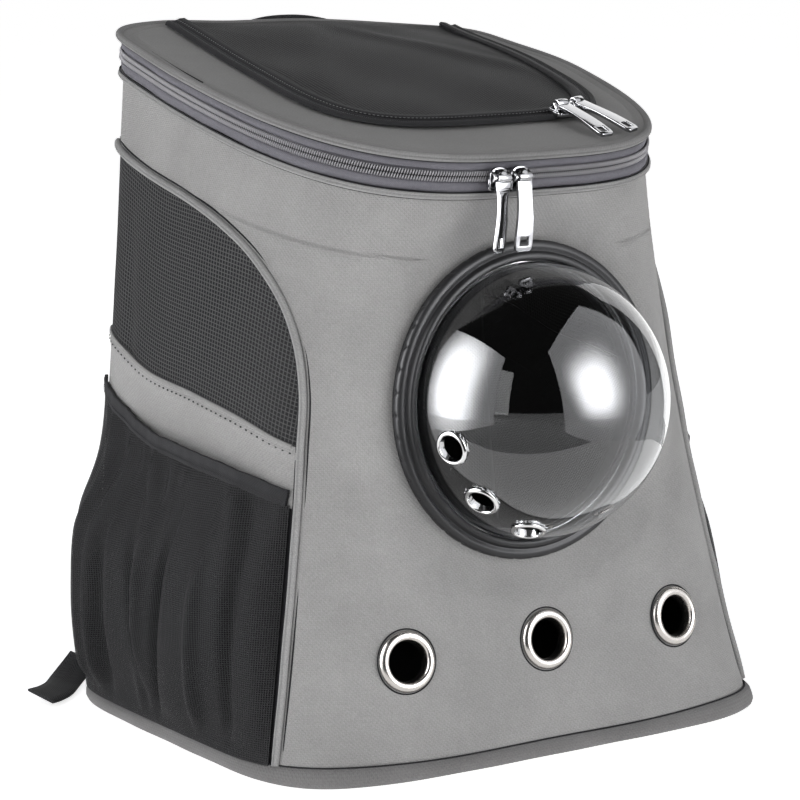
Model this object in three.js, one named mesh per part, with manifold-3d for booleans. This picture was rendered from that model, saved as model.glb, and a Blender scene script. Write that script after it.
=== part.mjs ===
// Backpack-style pet carrier with a clear dome window, mesh sides, side pockets and a zipped lid.
// Millimetres, +Z up, front towards -Y. The bag stands on its flat base.
import * as THREE from 'three';
import { mergeVertices } from 'three/addons/utils/BufferGeometryUtils.js';
import Module from 'manifold-3d';

const wasm = await Module();
wasm.setup();

// ---------------------------------------------------------------- driving sizes
const GAP = 0.3;                 // air between neighbouring pieces
const CLOTH = 2.5;               // wall of the padded cloth panels
const MESH_WALL = 1.6;           // wall of the side net windows
const Y_SHIFT = 41.16;           // puts the middle of the overall depth on the origin
const FRONT_LID_Z = 356.2;       // height of the lid plane over its front edge
const LID_SLOPE = 0.23;          // rise of the lid towards the back
const AROUND = 40;               // points round the bag

// The bag's outline at three heights: a rounded box, front half and back half apart; midX: the soft bag leans a little
const OUTLINE = [
  { t: 0.0, midX: 0, halfWidth: 181.1, frontY: -182.2, midY: -51.1, backY: 110.0, frontPower: 4.86, backPower: 6.9 },
  { t: 0.5, midX: -2.2, halfWidth: 156.3, frontY: -151.6, midY: 3.5, backY: 111.5, frontPower: 4.0, backPower: 6.4 },
  { t: 1.0, midX: -0.8, halfWidth: 136.4, frontY: -156.0, midY: 58.1, backY: 113.5, frontPower: 3.13, backPower: 5.2 },
];

const BASE_T = 3.5;              // base sheet
const BODY_Z0 = BASE_T + GAP;    // walls start on it
const BAND_DROP = { lidPiping: 1.0, tapeTop: 4.2, coil: 12.6, tapeFoot: 21.6, bodyPiping: 24.3, bodyTop: 25.4 };
const LID_T = 3.0;

// Dome window
const DOME = { x: -4.5, z: 208.8, y: -147.5, tilt: 3.5, holeR: 85.0, ringR: 94.5, bubbleR: 82.0, wall: 2.4, seat: 8.0 };
const DOME_FLAT = { inner: 98, outer: 124 };   // cloth pulled flat by the ring, and where that ends
const VENT = { innerR: 8.0, barrelR: 9.0, lipR: 10.2, holeR: 9.4, segments: 16 };
const VENT_AT = [{ polar: 71.2, around: 76.7 }, { polar: 69.0, around: 49.3 }, { polar: 67.1, around: 21.5 }]; // degrees off the dome's axis, and round it from straight down
const ROUND = 32;                // sides of the dome's turned parts

// Air eyelets in the front panel
const EYELET = { segments: 18, lipR: 18.0, holeR: 13.4, z: 66.3, x: [-98.5, 0, 98.5] };

// Seam between the front cloth and the side, then over the side window to the back corner (side view)
const SEAM = [
  { y: -142.2, z: -4 }, { y: -129.3, z: 92 }, { y: -117.6, z: 186 }, { y: -113.0, z: 222 }, { y: -106.0, z: 248 },
  { y: -92.0, z: 273 }, { y: -70.0, z: 294 }, { y: -38.0, z: 311 }, { y: 5.0, z: 324 }, { y: 55.0, z: 335 }, { y: 106.0, z: 350 },
];
// Top and bottom edges of the cloth band under the window (side view)
const BAND_TOP = [{ y: -170, z: 179 }, { y: -115, z: 189 }, { y: -73, z: 201 }, { y: -24, z: 208.5 }, { y: 32, z: 214.6 }, { y: 72, z: 227 }, { y: 130, z: 243 }];
const BAND_FOOT = [{ y: -170, z: 146 }, { y: -120, z: 154 }, { y: -87, z: 162 }, { y: -40, z: 167.4 }, { y: 18, z: 172.2 }, { y: 63, z: 183 }, { y: 130, z: 206 }];
const BACK_SEAM_Y = 99;

// Side pocket: how far it stands off the side wall, from its front seam (s = 0) to its back seam (s = 1)
const POCKET_ALONG = [
  { s: 0, out: 0.0 }, { s: 0.06, out: 0.42 }, { s: 0.16, out: 0.7 }, { s: 0.32, out: 0.84 }, { s: 0.5, out: 0.92 },
  { s: 0.68, out: 0.98 }, { s: 0.84, out: 0.9 }, { s: 0.94, out: 0.58 }, { s: 1, out: 0.0 },
];
const POCKET_UP = [{ v: 0, out: 3 }, { v: 0.2, out: 17 }, { v: 0.42, out: 27 }, { v: 0.64, out: 28 }, { v: 0.84, out: 16 }, { v: 1, out: 7.5 }];
const POCKET = { fromSeam: 4.2, backY: 96, footZ: 9.8, wall: 1.5, off: 1.6, bindH: 8 };

const C = {
  cloth: 0x8c8b8a, clothDark: 0x6b6a6c, net: 0x1b1b1d, tape: 0x5b5a62, piping: 0x55545a, black: 0x151517,
  plastic: 0x1c1c1f, clear: 0xdfe6ea, nickel: 0xb9b4ac, chrome: 0xd8d8da,
};

// ---------------------------------------------------------------- small tools
const V = (x, y, z) => new THREE.Vector3(x, y, z);
const clamp01 = (v) => Math.min(1, Math.max(0, v));
const smooth = (v) => { const c = clamp01(v); return c * c * (3 - 2 * c); };

function quadratic(rows, key, t) {
  const [a, b, c] = rows.map((r) => r[key]);
  return a * (2 * t - 1) * (t - 1) + 4 * b * t * (1 - t) + c * t * (2 * t - 1);
}
function tableAt(rows, xKey, yKey, x) {
  const last = rows.length - 1;
  if (x <= rows[0][xKey]) return rows[0][yKey];
  if (x >= rows[last][xKey]) return rows[last][yKey];
  const i = rows.findIndex((r) => r[xKey] > x) - 1;
  const u = (x - rows[i][xKey]) / (rows[i + 1][xKey] - rows[i][xKey]);
  return rows[i][yKey] + (rows[i + 1][yKey] - rows[i][yKey]) * u;
}
function spline2(rows, n) {
  const curve = new THREE.CatmullRomCurve3(rows.map((r) => V(0, r.y, r.z)), false, 'centripetal');
  return curve.getSpacedPoints(n);
}
function offset2(points, d) { // shifts a side-view line square to itself, positive to its left
  return points.map((p, i) => {
    const a = points[Math.max(0, i - 1)], b = points[Math.min(points.length - 1, i + 1)];
    const ty = b.y - a.y, tz = b.z - a.z, l = Math.hypot(ty, tz);
    return V(0, p.y - (tz / l) * d, p.z + (ty / l) * d);
  });
}

// closed solid between rings of points; closed: the last ring joins the first
function ringSolid(rings, closed = false) {
  const n = rings[0].length, pos = [], idx = [];
  for (const r of rings) for (const p of r) pos.push(p.x, p.y, p.z);
  const m = rings.length, last = closed ? m : m - 1;
  for (let i = 0; i < last; i++) for (let j = 0; j < n; j++) {
    const a = i * n + j, b = i * n + ((j + 1) % n), c = ((i + 1) % m) * n + ((j + 1) % n), d = ((i + 1) % m) * n + j;
    idx.push(a, b, c, a, c, d);
  }
  if (!closed) {
    for (const [k, flip] of [[0, true], [m - 1, false]]) {
      const c = rings[k].reduce((s, p) => s.add(p), V(0, 0, 0)).multiplyScalar(1 / n), ci = pos.length / 3;
      pos.push(c.x, c.y, c.z);
      for (let j = 0; j < n; j++) {
        const a = k * n + j, b = k * n + ((j + 1) % n);
        if (flip) idx.push(ci, b, a); else idx.push(ci, a, b);
      }
    }
  }
  return outward(pos, idx);
}
function outward(pos, idx) { // turns the triangles if the solid came out inside out
  let vol = 0;
  for (let i = 0; i < idx.length; i += 3) {
    const [a, b, c] = [idx[i] * 3, idx[i + 1] * 3, idx[i + 2] * 3];
    vol += pos[a] * (pos[b + 1] * pos[c + 2] - pos[b + 2] * pos[c + 1])
      - pos[a + 1] * (pos[b] * pos[c + 2] - pos[b + 2] * pos[c])
      + pos[a + 2] * (pos[b] * pos[c + 1] - pos[b + 1] * pos[c]);
  }
  if (vol < 0) for (let i = 0; i < idx.length; i += 3) [idx[i + 1], idx[i + 2]] = [idx[i + 2], idx[i + 1]];
  const g = new THREE.BufferGeometry();
  g.setAttribute('position', new THREE.Float32BufferAttribute(pos, 3));
  g.setIndex(idx);
  return g;
}
// closed sheet from two grids of points (outer face and inner face), rows of equal length
function sheetSolid(outer, inner) {
  const m = outer.length, n = outer[0].length, pos = [], idx = [];
  for (const g of [outer, inner]) for (const row of g) for (const p of row) pos.push(p.x, p.y, p.z);
  const at = (g, i, j) => g * m * n + i * n + j;
  const quad = (a, b, c, d) => idx.push(a, b, c, a, c, d);
  for (let i = 0; i < m - 1; i++) for (let j = 0; j < n - 1; j++) {
    quad(at(0, i, j), at(0, i, j + 1), at(0, i + 1, j + 1), at(0, i + 1, j));
    quad(at(1, i, j), at(1, i + 1, j), at(1, i + 1, j + 1), at(1, i, j + 1));
  }
  for (let j = 0; j < n - 1; j++) {
    quad(at(0, 0, j), at(1, 0, j), at(1, 0, j + 1), at(0, 0, j + 1));
    quad(at(0, m - 1, j), at(0, m - 1, j + 1), at(1, m - 1, j + 1), at(1, m - 1, j));
  }
  for (let i = 0; i < m - 1; i++) {
    quad(at(0, i, 0), at(0, i + 1, 0), at(1, i + 1, 0), at(1, i, 0));
    quad(at(0, i, n - 1), at(1, i, n - 1), at(1, i + 1, n - 1), at(0, i + 1, n - 1));
  }
  return outward(pos, idx);
}
// sweeps a section along a line of points; side = the direction away from the cloth at each point
function sweep(points, sides, section, closed = false) {
  const n = points.length;
  const rings = points.map((p, i) => {
    const a = points[closed ? (i + n - 1) % n : Math.max(0, i - 1)], b = points[closed ? (i + 1) % n : Math.min(n - 1, i + 1)];
    const t = b.clone().sub(a).normalize();
    const o = sides[i].clone().addScaledVector(t, -sides[i].dot(t)).normalize();
    const w = t.clone().cross(o);
    return section.map(([u, v]) => p.clone().addScaledVector(o, u).addScaledVector(w, v));
  });
  return ringSolid(rings, closed);
}
const roundSection = (r, n, rv = r) => Array.from({ length: n }, (_, k) => {
  const a = (2 * Math.PI * (k + 0.5)) / n;
  return [r * Math.cos(a), rv * Math.sin(a)];
});
// prism along X from a side-view polygon
function prismX(poly, x0, x1) {
  const shape = new THREE.Shape(poly.map((p) => new THREE.Vector2(p.y, p.z)));
  const g = new THREE.ExtrudeGeometry(shape, { depth: x1 - x0, bevelEnabled: false, steps: 1, curveSegments: 1 });
  g.applyMatrix4(new THREE.Matrix4().makeBasis(V(0, 1, 0), V(0, 0, 1), V(1, 0, 0)));
  g.translate(x0, 0, 0);
  return g;
}
function solid(g) {
  const c = g.index ? g.clone() : g.clone();
  c.deleteAttribute('normal'); c.deleteAttribute('uv');
  const m = mergeVertices(c, 1e-4);
  return new wasm.Manifold(new wasm.Mesh({
    numProp: 3, vertProperties: new Float32Array(m.attributes.position.array), triVerts: new Uint32Array(m.index.array),
  }));
}
function shape(man) {
  const m = man.getMesh(), g = new THREE.BufferGeometry();
  const p = new Float32Array((m.vertProperties.length / m.numProp) * 3);
  for (let i = 0; i < p.length / 3; i++) for (let k = 0; k < 3; k++) p[3 * i + k] = m.vertProperties[i * m.numProp + k];
  g.setAttribute('position', new THREE.BufferAttribute(p, 3));
  g.setIndex(new THREE.BufferAttribute(new Uint32Array(m.triVerts), 1));
  return g;
}
// turned solid: profile rows are [radius, height]; the profile closes on itself
function turned(profile, segments, twist = 0) {
  const pts = [...profile, profile[0]].map(([r, h]) => new THREE.Vector2(r, h));
  const g = new THREE.LatheGeometry(pts, segments, twist);
  const c = solid(g);
  return outward(Array.from(c.getMesh().vertProperties), Array.from(c.getMesh().triVerts));
}

// ---------------------------------------------------------------- the bag's surface
const topZ = (y) => FRONT_LID_Z + (y - OUTLINE[2].frontY) * LID_SLOPE;
const QUARTER = AROUND / 4;
function cornerAngle(k) { // denser points in the corners than on the flats
  const q = Math.floor(k / QUARTER), v = (2 * (k - q * QUARTER)) / QUARTER - 1;
  return q * 90 + 45 + 45 * Math.sign(v) * Math.pow(Math.abs(v), 1.5);
}
function outlinePoint(k, t, off) {
  const a = THREE.MathUtils.degToRad(cornerAngle(((k % AROUND) + AROUND) % AROUND));
  const c = Math.cos(a), s = Math.sin(a);
  const w = quadratic(OUTLINE, 'halfWidth', t) + off;
  const mid = quadratic(OUTLINE, 'midY', t);
  const n = quadratic(OUTLINE, s > 0 ? 'backPower' : 'frontPower', t);
  const d = s > 0 ? quadratic(OUTLINE, 'backY', t) + off - mid : mid - quadratic(OUTLINE, 'frontY', t) + off;
  const k0 = Math.pow(Math.pow(Math.abs(c), n) + Math.pow(Math.abs(s), n), -1 / n);
  return { x: quadratic(OUTLINE, 'midX', t) + w * c * k0, y: mid + d * s * k0 };
}
const tilt = THREE.MathUtils.degToRad(DOME.tilt);
const domeAxis = V(0, -Math.cos(tilt), Math.sin(tilt));
const domeCentre = V(DOME.x, DOME.y, DOME.z);
function bagPoint(k, t, off = 0) {
  const o = outlinePoint(k, t, off);
  let y = o.y;
  const z = t * topZ(o.y);
  if (o.y < quadratic(OUTLINE, 'midY', t)) { // the dome's ring pulls the cloth flat
    const rho = Math.hypot(o.x - DOME.x, (z - DOME.z) / Math.cos(tilt));
    const w = 1 - smooth((rho - DOME_FLAT.inner) / (DOME_FLAT.outer - DOME_FLAT.inner));
    y += w * (DOME.y + (z - DOME.z) * Math.tan(tilt) - off - y);
  }
  return V(o.x, y, z);
}
const around = (f) => Array.from({ length: AROUND }, (_, k) => f(k));
function lidRing(drop, off) { // a ring parallel to the lid plane, that far below it
  return around((k) => {
    const o = outlinePoint(k, 0.965, off);
    const t = 1 - drop / topZ(o.y);
    const p = outlinePoint(k, Math.min(1, t), off);
    return V(p.x, p.y, topZ(p.y) - drop);
  });
}
function levelRing(z, off) {
  return around((k) => { const t = z / topZ(outlinePoint(k, 0, off).y); const p = outlinePoint(k, t, off); return V(p.x, p.y, z); });
}
function outwardAt(k, t) { // level direction away from the bag
  const a = bagPoint(k - 0.5, t, 0), b = bagPoint(k + 0.5, t, 0);
  return V(b.y - a.y, -(b.x - a.x), 0).normalize();
}

// ---------------------------------------------------------------- walls
const LEVELS = [0.1, 0.2, 0.315, 0.44, 0.58, 0.72, 0.85];
function wallBlock(off, over) { // filled bag, from base to hem
  const rings = [levelRing(BODY_Z0 - over, off)];
  for (const t of LEVELS) rings.push(around((k) => bagPoint(k, t, off)));
  rings.push(around((k) => {
    const o = outlinePoint(k, 0.93, off), t = 1 - (BAND_DROP.bodyTop - over) / topZ(o.y), p = bagPoint(k, t, off);
    return V(p.x, p.y, topZ(p.y) - BAND_DROP.bodyTop + over);
  }));
  return solid(ringSolid(rings));
}
const outerBlock = wallBlock(0, 0);
const clothShell = outerBlock.subtract(wallBlock(-CLOTH, 6));
const netShell = wallBlock(-0.45, 0).subtract(wallBlock(-0.45 - MESH_WALL, 6));

const seamLine = spline2(SEAM, 26);
const bandTop = spline2(BAND_TOP, 10), bandFoot = spline2(BAND_FOOT, 10);
const H = GAP / 2, FAR = 400;
const frontRegion = (() => { // ahead of and above the seam line
  const l = offset2(seamLine, H);
  return prismX([V(0, -FAR, -40), ...[V(0, l[0].y, -40)], ...l.filter((p) => p.y < BACK_SEAM_Y - H), V(0, BACK_SEAM_Y - H, 349), V(0, BACK_SEAM_Y - H, 600), V(0, -FAR, 600)], -FAR, FAR);
})();
const sideRegion = (() => {
  const l = offset2(seamLine, -H).filter((p) => p.y < BACK_SEAM_Y - H);
  return [V(0, l[0].y, -40), ...l, V(0, BACK_SEAM_Y - H, 348), V(0, BACK_SEAM_Y - H, -40)].reverse();
})();
const above = (line) => [...offset2(line, H), V(0, 130, 600), V(0, -170, 600)];
const below = (line) => [...offset2(line, -H), V(0, 130, -60), V(0, -170, -60)].reverse();
const half = (poly, side) => solid(side < 0 ? prismX(poly, -FAR, -30) : prismX(poly, 30, FAR));
const backRegion = solid(prismX([V(0, BACK_SEAM_Y + H, -40), V(0, 200, -40), V(0, 200, 600), V(0, BACK_SEAM_Y + H, 600)], -FAR, FAR));

// a round bar along an axis through a point
function bar(centre, axis, r, from, to, segments) {
  const g = new THREE.CylinderGeometry(r, r, to - from, segments);
  g.translate(0, (from + to) / 2, 0);
  const q = new THREE.Quaternion().setFromUnitVectors(V(0, 1, 0), axis);
  g.applyQuaternion(q); g.translate(centre.x, centre.y, centre.z);
  return solid(g);
}
function placed(g, centre, axis) { // a turned shape, its axis +Y, stood on a point along an axis
  const q = new THREE.Quaternion().setFromUnitVectors(V(0, 1, 0), axis);
  g.applyQuaternion(q); g.translate(centre.x, centre.y, centre.z);
  return g;
}

// point and direction of the front cloth at a place seen from the front
function frontAt(x, z) {
  const find = (xx, zz) => {
    let best = null;
    for (let k = AROUND / 2; k <= AROUND; k += 0.25) {
      let t = zz / FRONT_LID_Z;
      for (let i = 0; i < 4; i++) { const p = bagPoint(k, t, 0); t *= zz / p.z; }
      const p = bagPoint(k, t, 0);
      if (!best || Math.abs(p.x - xx) < Math.abs(best.x - xx)) { best = p; best.k = k; best.t = t; }
    }
    const a = bagPoint(best.k - 0.25, best.t, 0), b = bagPoint(best.k + 0.25, best.t, 0);
    const u = b.x === a.x ? 0 : (xx - a.x) / (b.x - a.x);
    return V(xx, a.y + (b.y - a.y) * u, zz);
  };
  const p = find(x, z), dx = find(x + 6, z).sub(find(x - 6, z)), dz = find(x, z + 6).sub(find(x, z - 6));
  const n = dx.cross(dz).normalize();
  if (n.y > 0) n.negate();
  return { p, n };
}

const eyelets = EYELET.x.map((x) => frontAt(x, EYELET.z));
let front = clothShell.intersect(solid(frontRegion));
front = front.subtract(bar(domeCentre, domeAxis, DOME.holeR, -40, 40, ROUND));
{ // the ring's flanges press the cloth to one flat thickness
  const clearFront = solid(placed(turned([[DOME.holeR - 3, 0], [DOME.ringR + 1.5, 0], [DOME.ringR + 1.5, 26], [DOME.holeR - 3, 26]], ROUND), domeCentre, domeAxis));
  const clearBack = solid(placed(turned([[DOME.holeR - 3, -26], [DOME.ringR - 1, -26], [DOME.ringR - 1, -CLOTH], [DOME.holeR - 3, -CLOTH]], ROUND), domeCentre, domeAxis));
  front = front.subtract(clearFront).subtract(clearBack);
}
for (const e of eyelets) { // the eyelet's lips press the cloth flat too
  front = front.subtract(bar(e.p, e.n, EYELET.holeR, -12, 12, EYELET.segments));
  front = front.subtract(solid(placed(turned([[EYELET.holeR - 2, 0.4], [EYELET.lipR + 0.8, 0.4], [EYELET.lipR + 0.8, 9], [EYELET.holeR - 2, 9]], EYELET.segments), e.p, e.n)));
  front = front.subtract(solid(placed(turned([[EYELET.holeR - 2, -12], [EYELET.lipR - 0.5, -12], [EYELET.lipR - 0.5, -3.2], [EYELET.holeR - 2, -3.2]], EYELET.segments), e.p, e.n)));
}

const pieces = [];
function add(name, geometry, color, roughness = 0.8, metalness = 0, extra = {}) {
  const g = geometry.clone();
  for (const a of Object.keys(g.attributes)) if (a !== 'position') g.deleteAttribute(a);
  const m = new THREE.Mesh(g, new THREE.MeshStandardMaterial({ color, roughness, metalness, ...extra }));
  m.name = name;
  pieces.push(m);
  return m;
}

add('front_panel', shape(front), C.cloth, 0.9);
add('back_panel', shape(clothShell.intersect(backRegion)), C.black, 0.95);
for (const [side, tag] of [[-1, 'left'], [1, 'right']]) {
  const region = half(sideRegion, side);
  add(`side_window_${tag}`, shape(netShell.intersect(region).intersect(half(above(bandTop), side))), C.net, 0.95);
  add(`side_band_${tag}`, shape(clothShell.intersect(region).intersect(half(below(bandTop), side)).intersect(half(above(bandFoot), side))), C.cloth, 0.9);
  add(`side_lower_${tag}`, shape(clothShell.intersect(region).intersect(half(below(bandFoot), side))), C.clothDark, 0.9);
}

// piping on the seam, up the corner and over the window
function sidePoint(y, z, off, side) { // the side wall at a side-view place
  const at = (k) => (side < 0 ? k : AROUND / 2 - k);
  const tAt = (k) => { let t = z / topZ(y); for (let j = 0; j < 4; j++) t *= z / bagPoint(at(k), t, off).z; return t; };
  let lo = AROUND / 4, hi = (3 * AROUND) / 4; // back to front
  for (let i = 0; i < 40; i++) {
    const k = (lo + hi) / 2;
    if (bagPoint(at(k), tAt(k), off).y > y) lo = k; else hi = k;
  }
  const k = (lo + hi) / 2, t = tAt(k);
  return { p: V(bagPoint(at(k), t, off).x, y, z), n: outwardAt(at(k), t) };
}
const PIPE_R = 2.3;
const besideWall = wallBlock(0.4, 0);
for (const [side, tag] of [[-1, 'left'], [1, 'right']]) {
  const line = spline2(SEAM, 22).filter((p) => p.z > 12 && p.y < BACK_SEAM_Y - 3);
  const at = line.map((p) => sidePoint(p.y, p.z, 0, side));
  const cord = solid(sweep(at.map((a) => a.p.clone().addScaledVector(a.n, PIPE_R)), at.map((a) => a.n), roundSection(PIPE_R, 5)));
  add(`seam_piping_${tag}`, shape(cord.subtract(besideWall)), C.piping, 0.85);
}

// base: flat sheet, and the bound edge round it
add('base_panel', ringSolid([levelRing(0, -1.5), levelRing(BASE_T, -1.5)]), C.clothDark, 0.9);
{
  const rows = [[0.0, -1.1], [0.0, 1.2], [2.5, 2.2], [8.0, 2.2], [9.4, GAP + 0.15], [BASE_T - 0.2, GAP + 0.15]];
  const loops = rows.map(([z, off]) => levelRing(z, off));
  add('base_binding', ringSolid(around((k) => loops.map((l) => l[k])), true), C.cloth, 0.9);
}

// hem piping, zipped band, lid
{
  const sides = around((k) => outwardAt(k, 0.94));
  add('hem_piping', sweep(lidRing(BAND_DROP.bodyPiping, 2.1), sides, roundSection(1.7, 5), true), C.piping, 0.85);
  const rows = [[22.0, 1.2], [21.8, -0.8], [4.0, 0.4], [4.0, 2.6], [10.8, 2.3], [12.6, 4.2], [14.4, 2.2]];
  const loops = rows.map(([drop, off]) => lidRing(drop, off));
  add('zip_band', ringSolid(around((k) => loops.map((l) => l[k])), true), C.tape, 0.85);
  add('lid_piping', sweep(lidRing(1.0, 3.4), sides, roundSection(2.3, 6), true), C.piping, 0.85);
  add('lid_panel', ringSolid([lidRing(LID_T, 0.7), lidRing(0, 0.7)]), C.cloth, 0.9);
}

// net flap on the lid, and its zip in a U round three sides
const FLAP = { x: 7.3, halfWidth: 107, frontY: -110.3, backY: 106, power: 3.9, skew: 0.047, flare: 0.038, zipW: 9, lift: 0.4, zipH: 3.6, netH: 2.2 };
function flapHalf(inset) { // outline of the flap, back left to back right, seen from above
  const pts = [], w = FLAP.halfWidth - inset, mid = 0, d = mid - (FLAP.frontY + inset);
  pts.push([FLAP.x - w, FLAP.backY], [FLAP.x - w, 55]);
  for (let i = 0; i <= 16; i++) {
    const v = (2 * i) / 16 - 1;
    const a = THREE.MathUtils.degToRad(90 + 90 * v);
    const c = -Math.cos(a), s = Math.sin(a), k0 = Math.pow(Math.pow(Math.abs(c), FLAP.power) + Math.pow(s, FLAP.power), -1 / FLAP.power);
    pts.push([FLAP.x + w * c * k0, mid - d * s * k0]);
  }
  pts.push([FLAP.x + w, 55], [FLAP.x + w, FLAP.backY]);
  return pts.map(([x, y]) => [x + FLAP.skew * y + Math.sign(x - FLAP.x) * FLAP.flare * y * Math.min(1, Math.abs(x - FLAP.x) / 40), y]);
}
const onLid = ([x, y], up) => V(x, y, topZ(y) + up);
{
  const a = flapHalf(0), b = flapHalf(FLAP.zipW);
  const outerTop = a.map((p) => onLid(p, FLAP.lift + FLAP.zipH)), innerTop = b.map((p) => onLid(p, FLAP.lift + FLAP.zipH));
  const outerFoot = a.map((p) => onLid(p, FLAP.lift)), innerFoot = b.map((p) => onLid(p, FLAP.lift));
  add('flap_zip', ringSolid(a.map((_, i) => [outerFoot[i], outerTop[i], innerTop[i], innerFoot[i]])), C.black, 0.8);
  const c = flapHalf(FLAP.zipW + GAP), m = c.length;
  const bottom = c.map((p) => onLid(p, FLAP.lift)), top = c.map((p) => onLid(p, FLAP.lift + FLAP.netH));
  add('lid_flap', ringSolid([bottom, top]), C.net, 0.95);
}

// ---------------------------------------------------------------- side pockets
function pocketSheet(side, off) {
  const ns = 13, nv = 6, grid = [];
  for (let j = 0; j <= nv; j++) {
    const v = j / nv, row = [];
    for (let i = 0; i <= ns; i++) {
      const s = i / ns, e = 0.5 - 0.5 * Math.cos(Math.PI * s), ss = 0.35 * s + 0.65 * e;
      const frontY = tableAt(SEAM, 'z', 'y', POCKET.footZ + (150 - POCKET.footZ) * v) + POCKET.fromSeam;
      const y = frontY + (POCKET.backY - frontY) * ss;
      const topEdge = tableAt(BAND_FOOT, 'y', 'z', y) + 2.0;
      const z = POCKET.footZ + (topEdge - POCKET.footZ) * v;
      const out = POCKET.off + tableAt(POCKET_ALONG, 's', 'out', ss) * tableAt(POCKET_UP, 'v', 'out', v) + off;
      const q = sidePoint(y, z, 0, side);
      const n = q.n.clone().lerp(V(side, 0, 0), 0.45).normalize();
      row.push(q.p.clone().addScaledVector(n, out));
    }
    grid.push(row);
  }
  return grid;
}
for (const [side, tag] of [[-1, 'left'], [1, 'right']]) {
  const outer = pocketSheet(side, POCKET.wall), inner = pocketSheet(side, 0);
  add(`pocket_${tag}`, shape(solid(sheetSolid(outer, inner)).subtract(besideWall)), C.net, 0.95);
  const topO = outer[outer.length - 1], topI = inner[inner.length - 1];
  const binding = ringSolid(topO.map((o, i) => {
    const n = o.clone().sub(topI[i]).setZ(0).normalize().multiplyScalar(0.25);
    return [[o, n, GAP], [o, n, POCKET.bindH], [topI[i], n.clone().negate(), POCKET.bindH], [topI[i], n.clone().negate(), GAP]]
      .map(([p, d, up]) => p.clone().add(d).add(V(0, 0, up)));
  }));
  add(`pocket_binding_${tag}`, shape(solid(binding).subtract(besideWall)), C.black, 0.9);
}

// ---------------------------------------------------------------- dome window
{
  const R = DOME.ringR, h = DOME.holeR - 0.5;
  // fixed collar, gripping the cloth from both sides
  add('dome_collar', placed(turned([
    [78.0, -CLOTH - 4], [R - 3, -CLOTH - 4], [R - 3, -CLOTH - GAP], [h, -CLOTH - GAP], [h, GAP], [R - 1.0, GAP], [R - 1.2, 2.6], [78.0, 2.6]], ROUND), domeCentre, domeAxis), C.plastic, 0.45);
  // turning ring that carries the bubble
  add('dome_ring', placed(turned([
    [78.0, 2.9], [R, 2.9], [R, 6.4], [R - 4.2, 8.8], [R - 6.2, 8.2], [R - 8.2, 10.6], [DOME.bubbleR + 0.5, 10.0], [DOME.bubbleR + 0.5, 5.4], [78.0, 5.4]], ROUND), domeCentre, domeAxis), C.plastic, 0.4);
  // clear bubble: a half sphere on a short skirt
  const r0 = DOME.bubbleR, r1 = r0 - DOME.wall, prof = [[r1, 5.8], [r0, 5.8]], steps = 7;
  for (let i = 0; i <= steps; i++) { const a = (Math.PI / 2) * (i / steps); prof.push([i === steps ? 0 : r0 * Math.cos(a), DOME.seat + r0 * Math.sin(a)]); }
  for (let i = steps; i >= 0; i--) { const a = (Math.PI / 2) * (i / steps); prof.push([i === steps ? 0 : r1 * Math.cos(a), DOME.seat + r1 * Math.sin(a)]); }
  let bubble = solid(placed(turned(prof, 28), domeCentre, domeAxis));
  const middle = domeCentre.clone().addScaledVector(domeAxis, DOME.seat);
  const down = V(0, -Math.sin(tilt), -Math.cos(tilt));
  VENT_AT.forEach((place, i) => {
    const a = THREE.MathUtils.degToRad(place.around), b = THREE.MathUtils.degToRad(place.polar);
    const flat = down.clone().multiplyScalar(Math.cos(a)).addScaledVector(V(-1, 0, 0), Math.sin(a));
    const dir = domeAxis.clone().multiplyScalar(Math.cos(b)).addScaledVector(flat, Math.sin(b)).normalize();
    bubble = bubble.subtract(bar(middle, dir, VENT.holeR, 60, 100, VENT.segments));
    const at = middle.clone().addScaledVector(dir, r0);
    add(`dome_vent_${i + 1}`, placed(turned([[VENT.innerR, -3.8], [VENT.barrelR, -3.8], [VENT.barrelR, 0.3], [VENT.lipR, 0.2], [VENT.lipR, 1.1], [VENT.innerR, 1.3]], VENT.segments), at, dir), C.nickel, 0.3, 0.8);
  });
  add('dome_bubble', shape(bubble), C.clear, 0.05, 0, { transparent: true, opacity: 0.3 });
}

// ---------------------------------------------------------------- eyelets
eyelets.forEach((e, i) => {
  const profile = [[11.5, -4.6], [16.5, -4.6], [16.5, -3.5], [13.0, -3.5], [13.0, 0.8], [18.0, 0.7], [16.8, 3.0], [13.4, 3.3]];
  add(`eyelet_${i + 1}`, placed(turned(profile, EYELET.segments), e.p, e.n), C.nickel, 0.3, 0.9);
});

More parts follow.
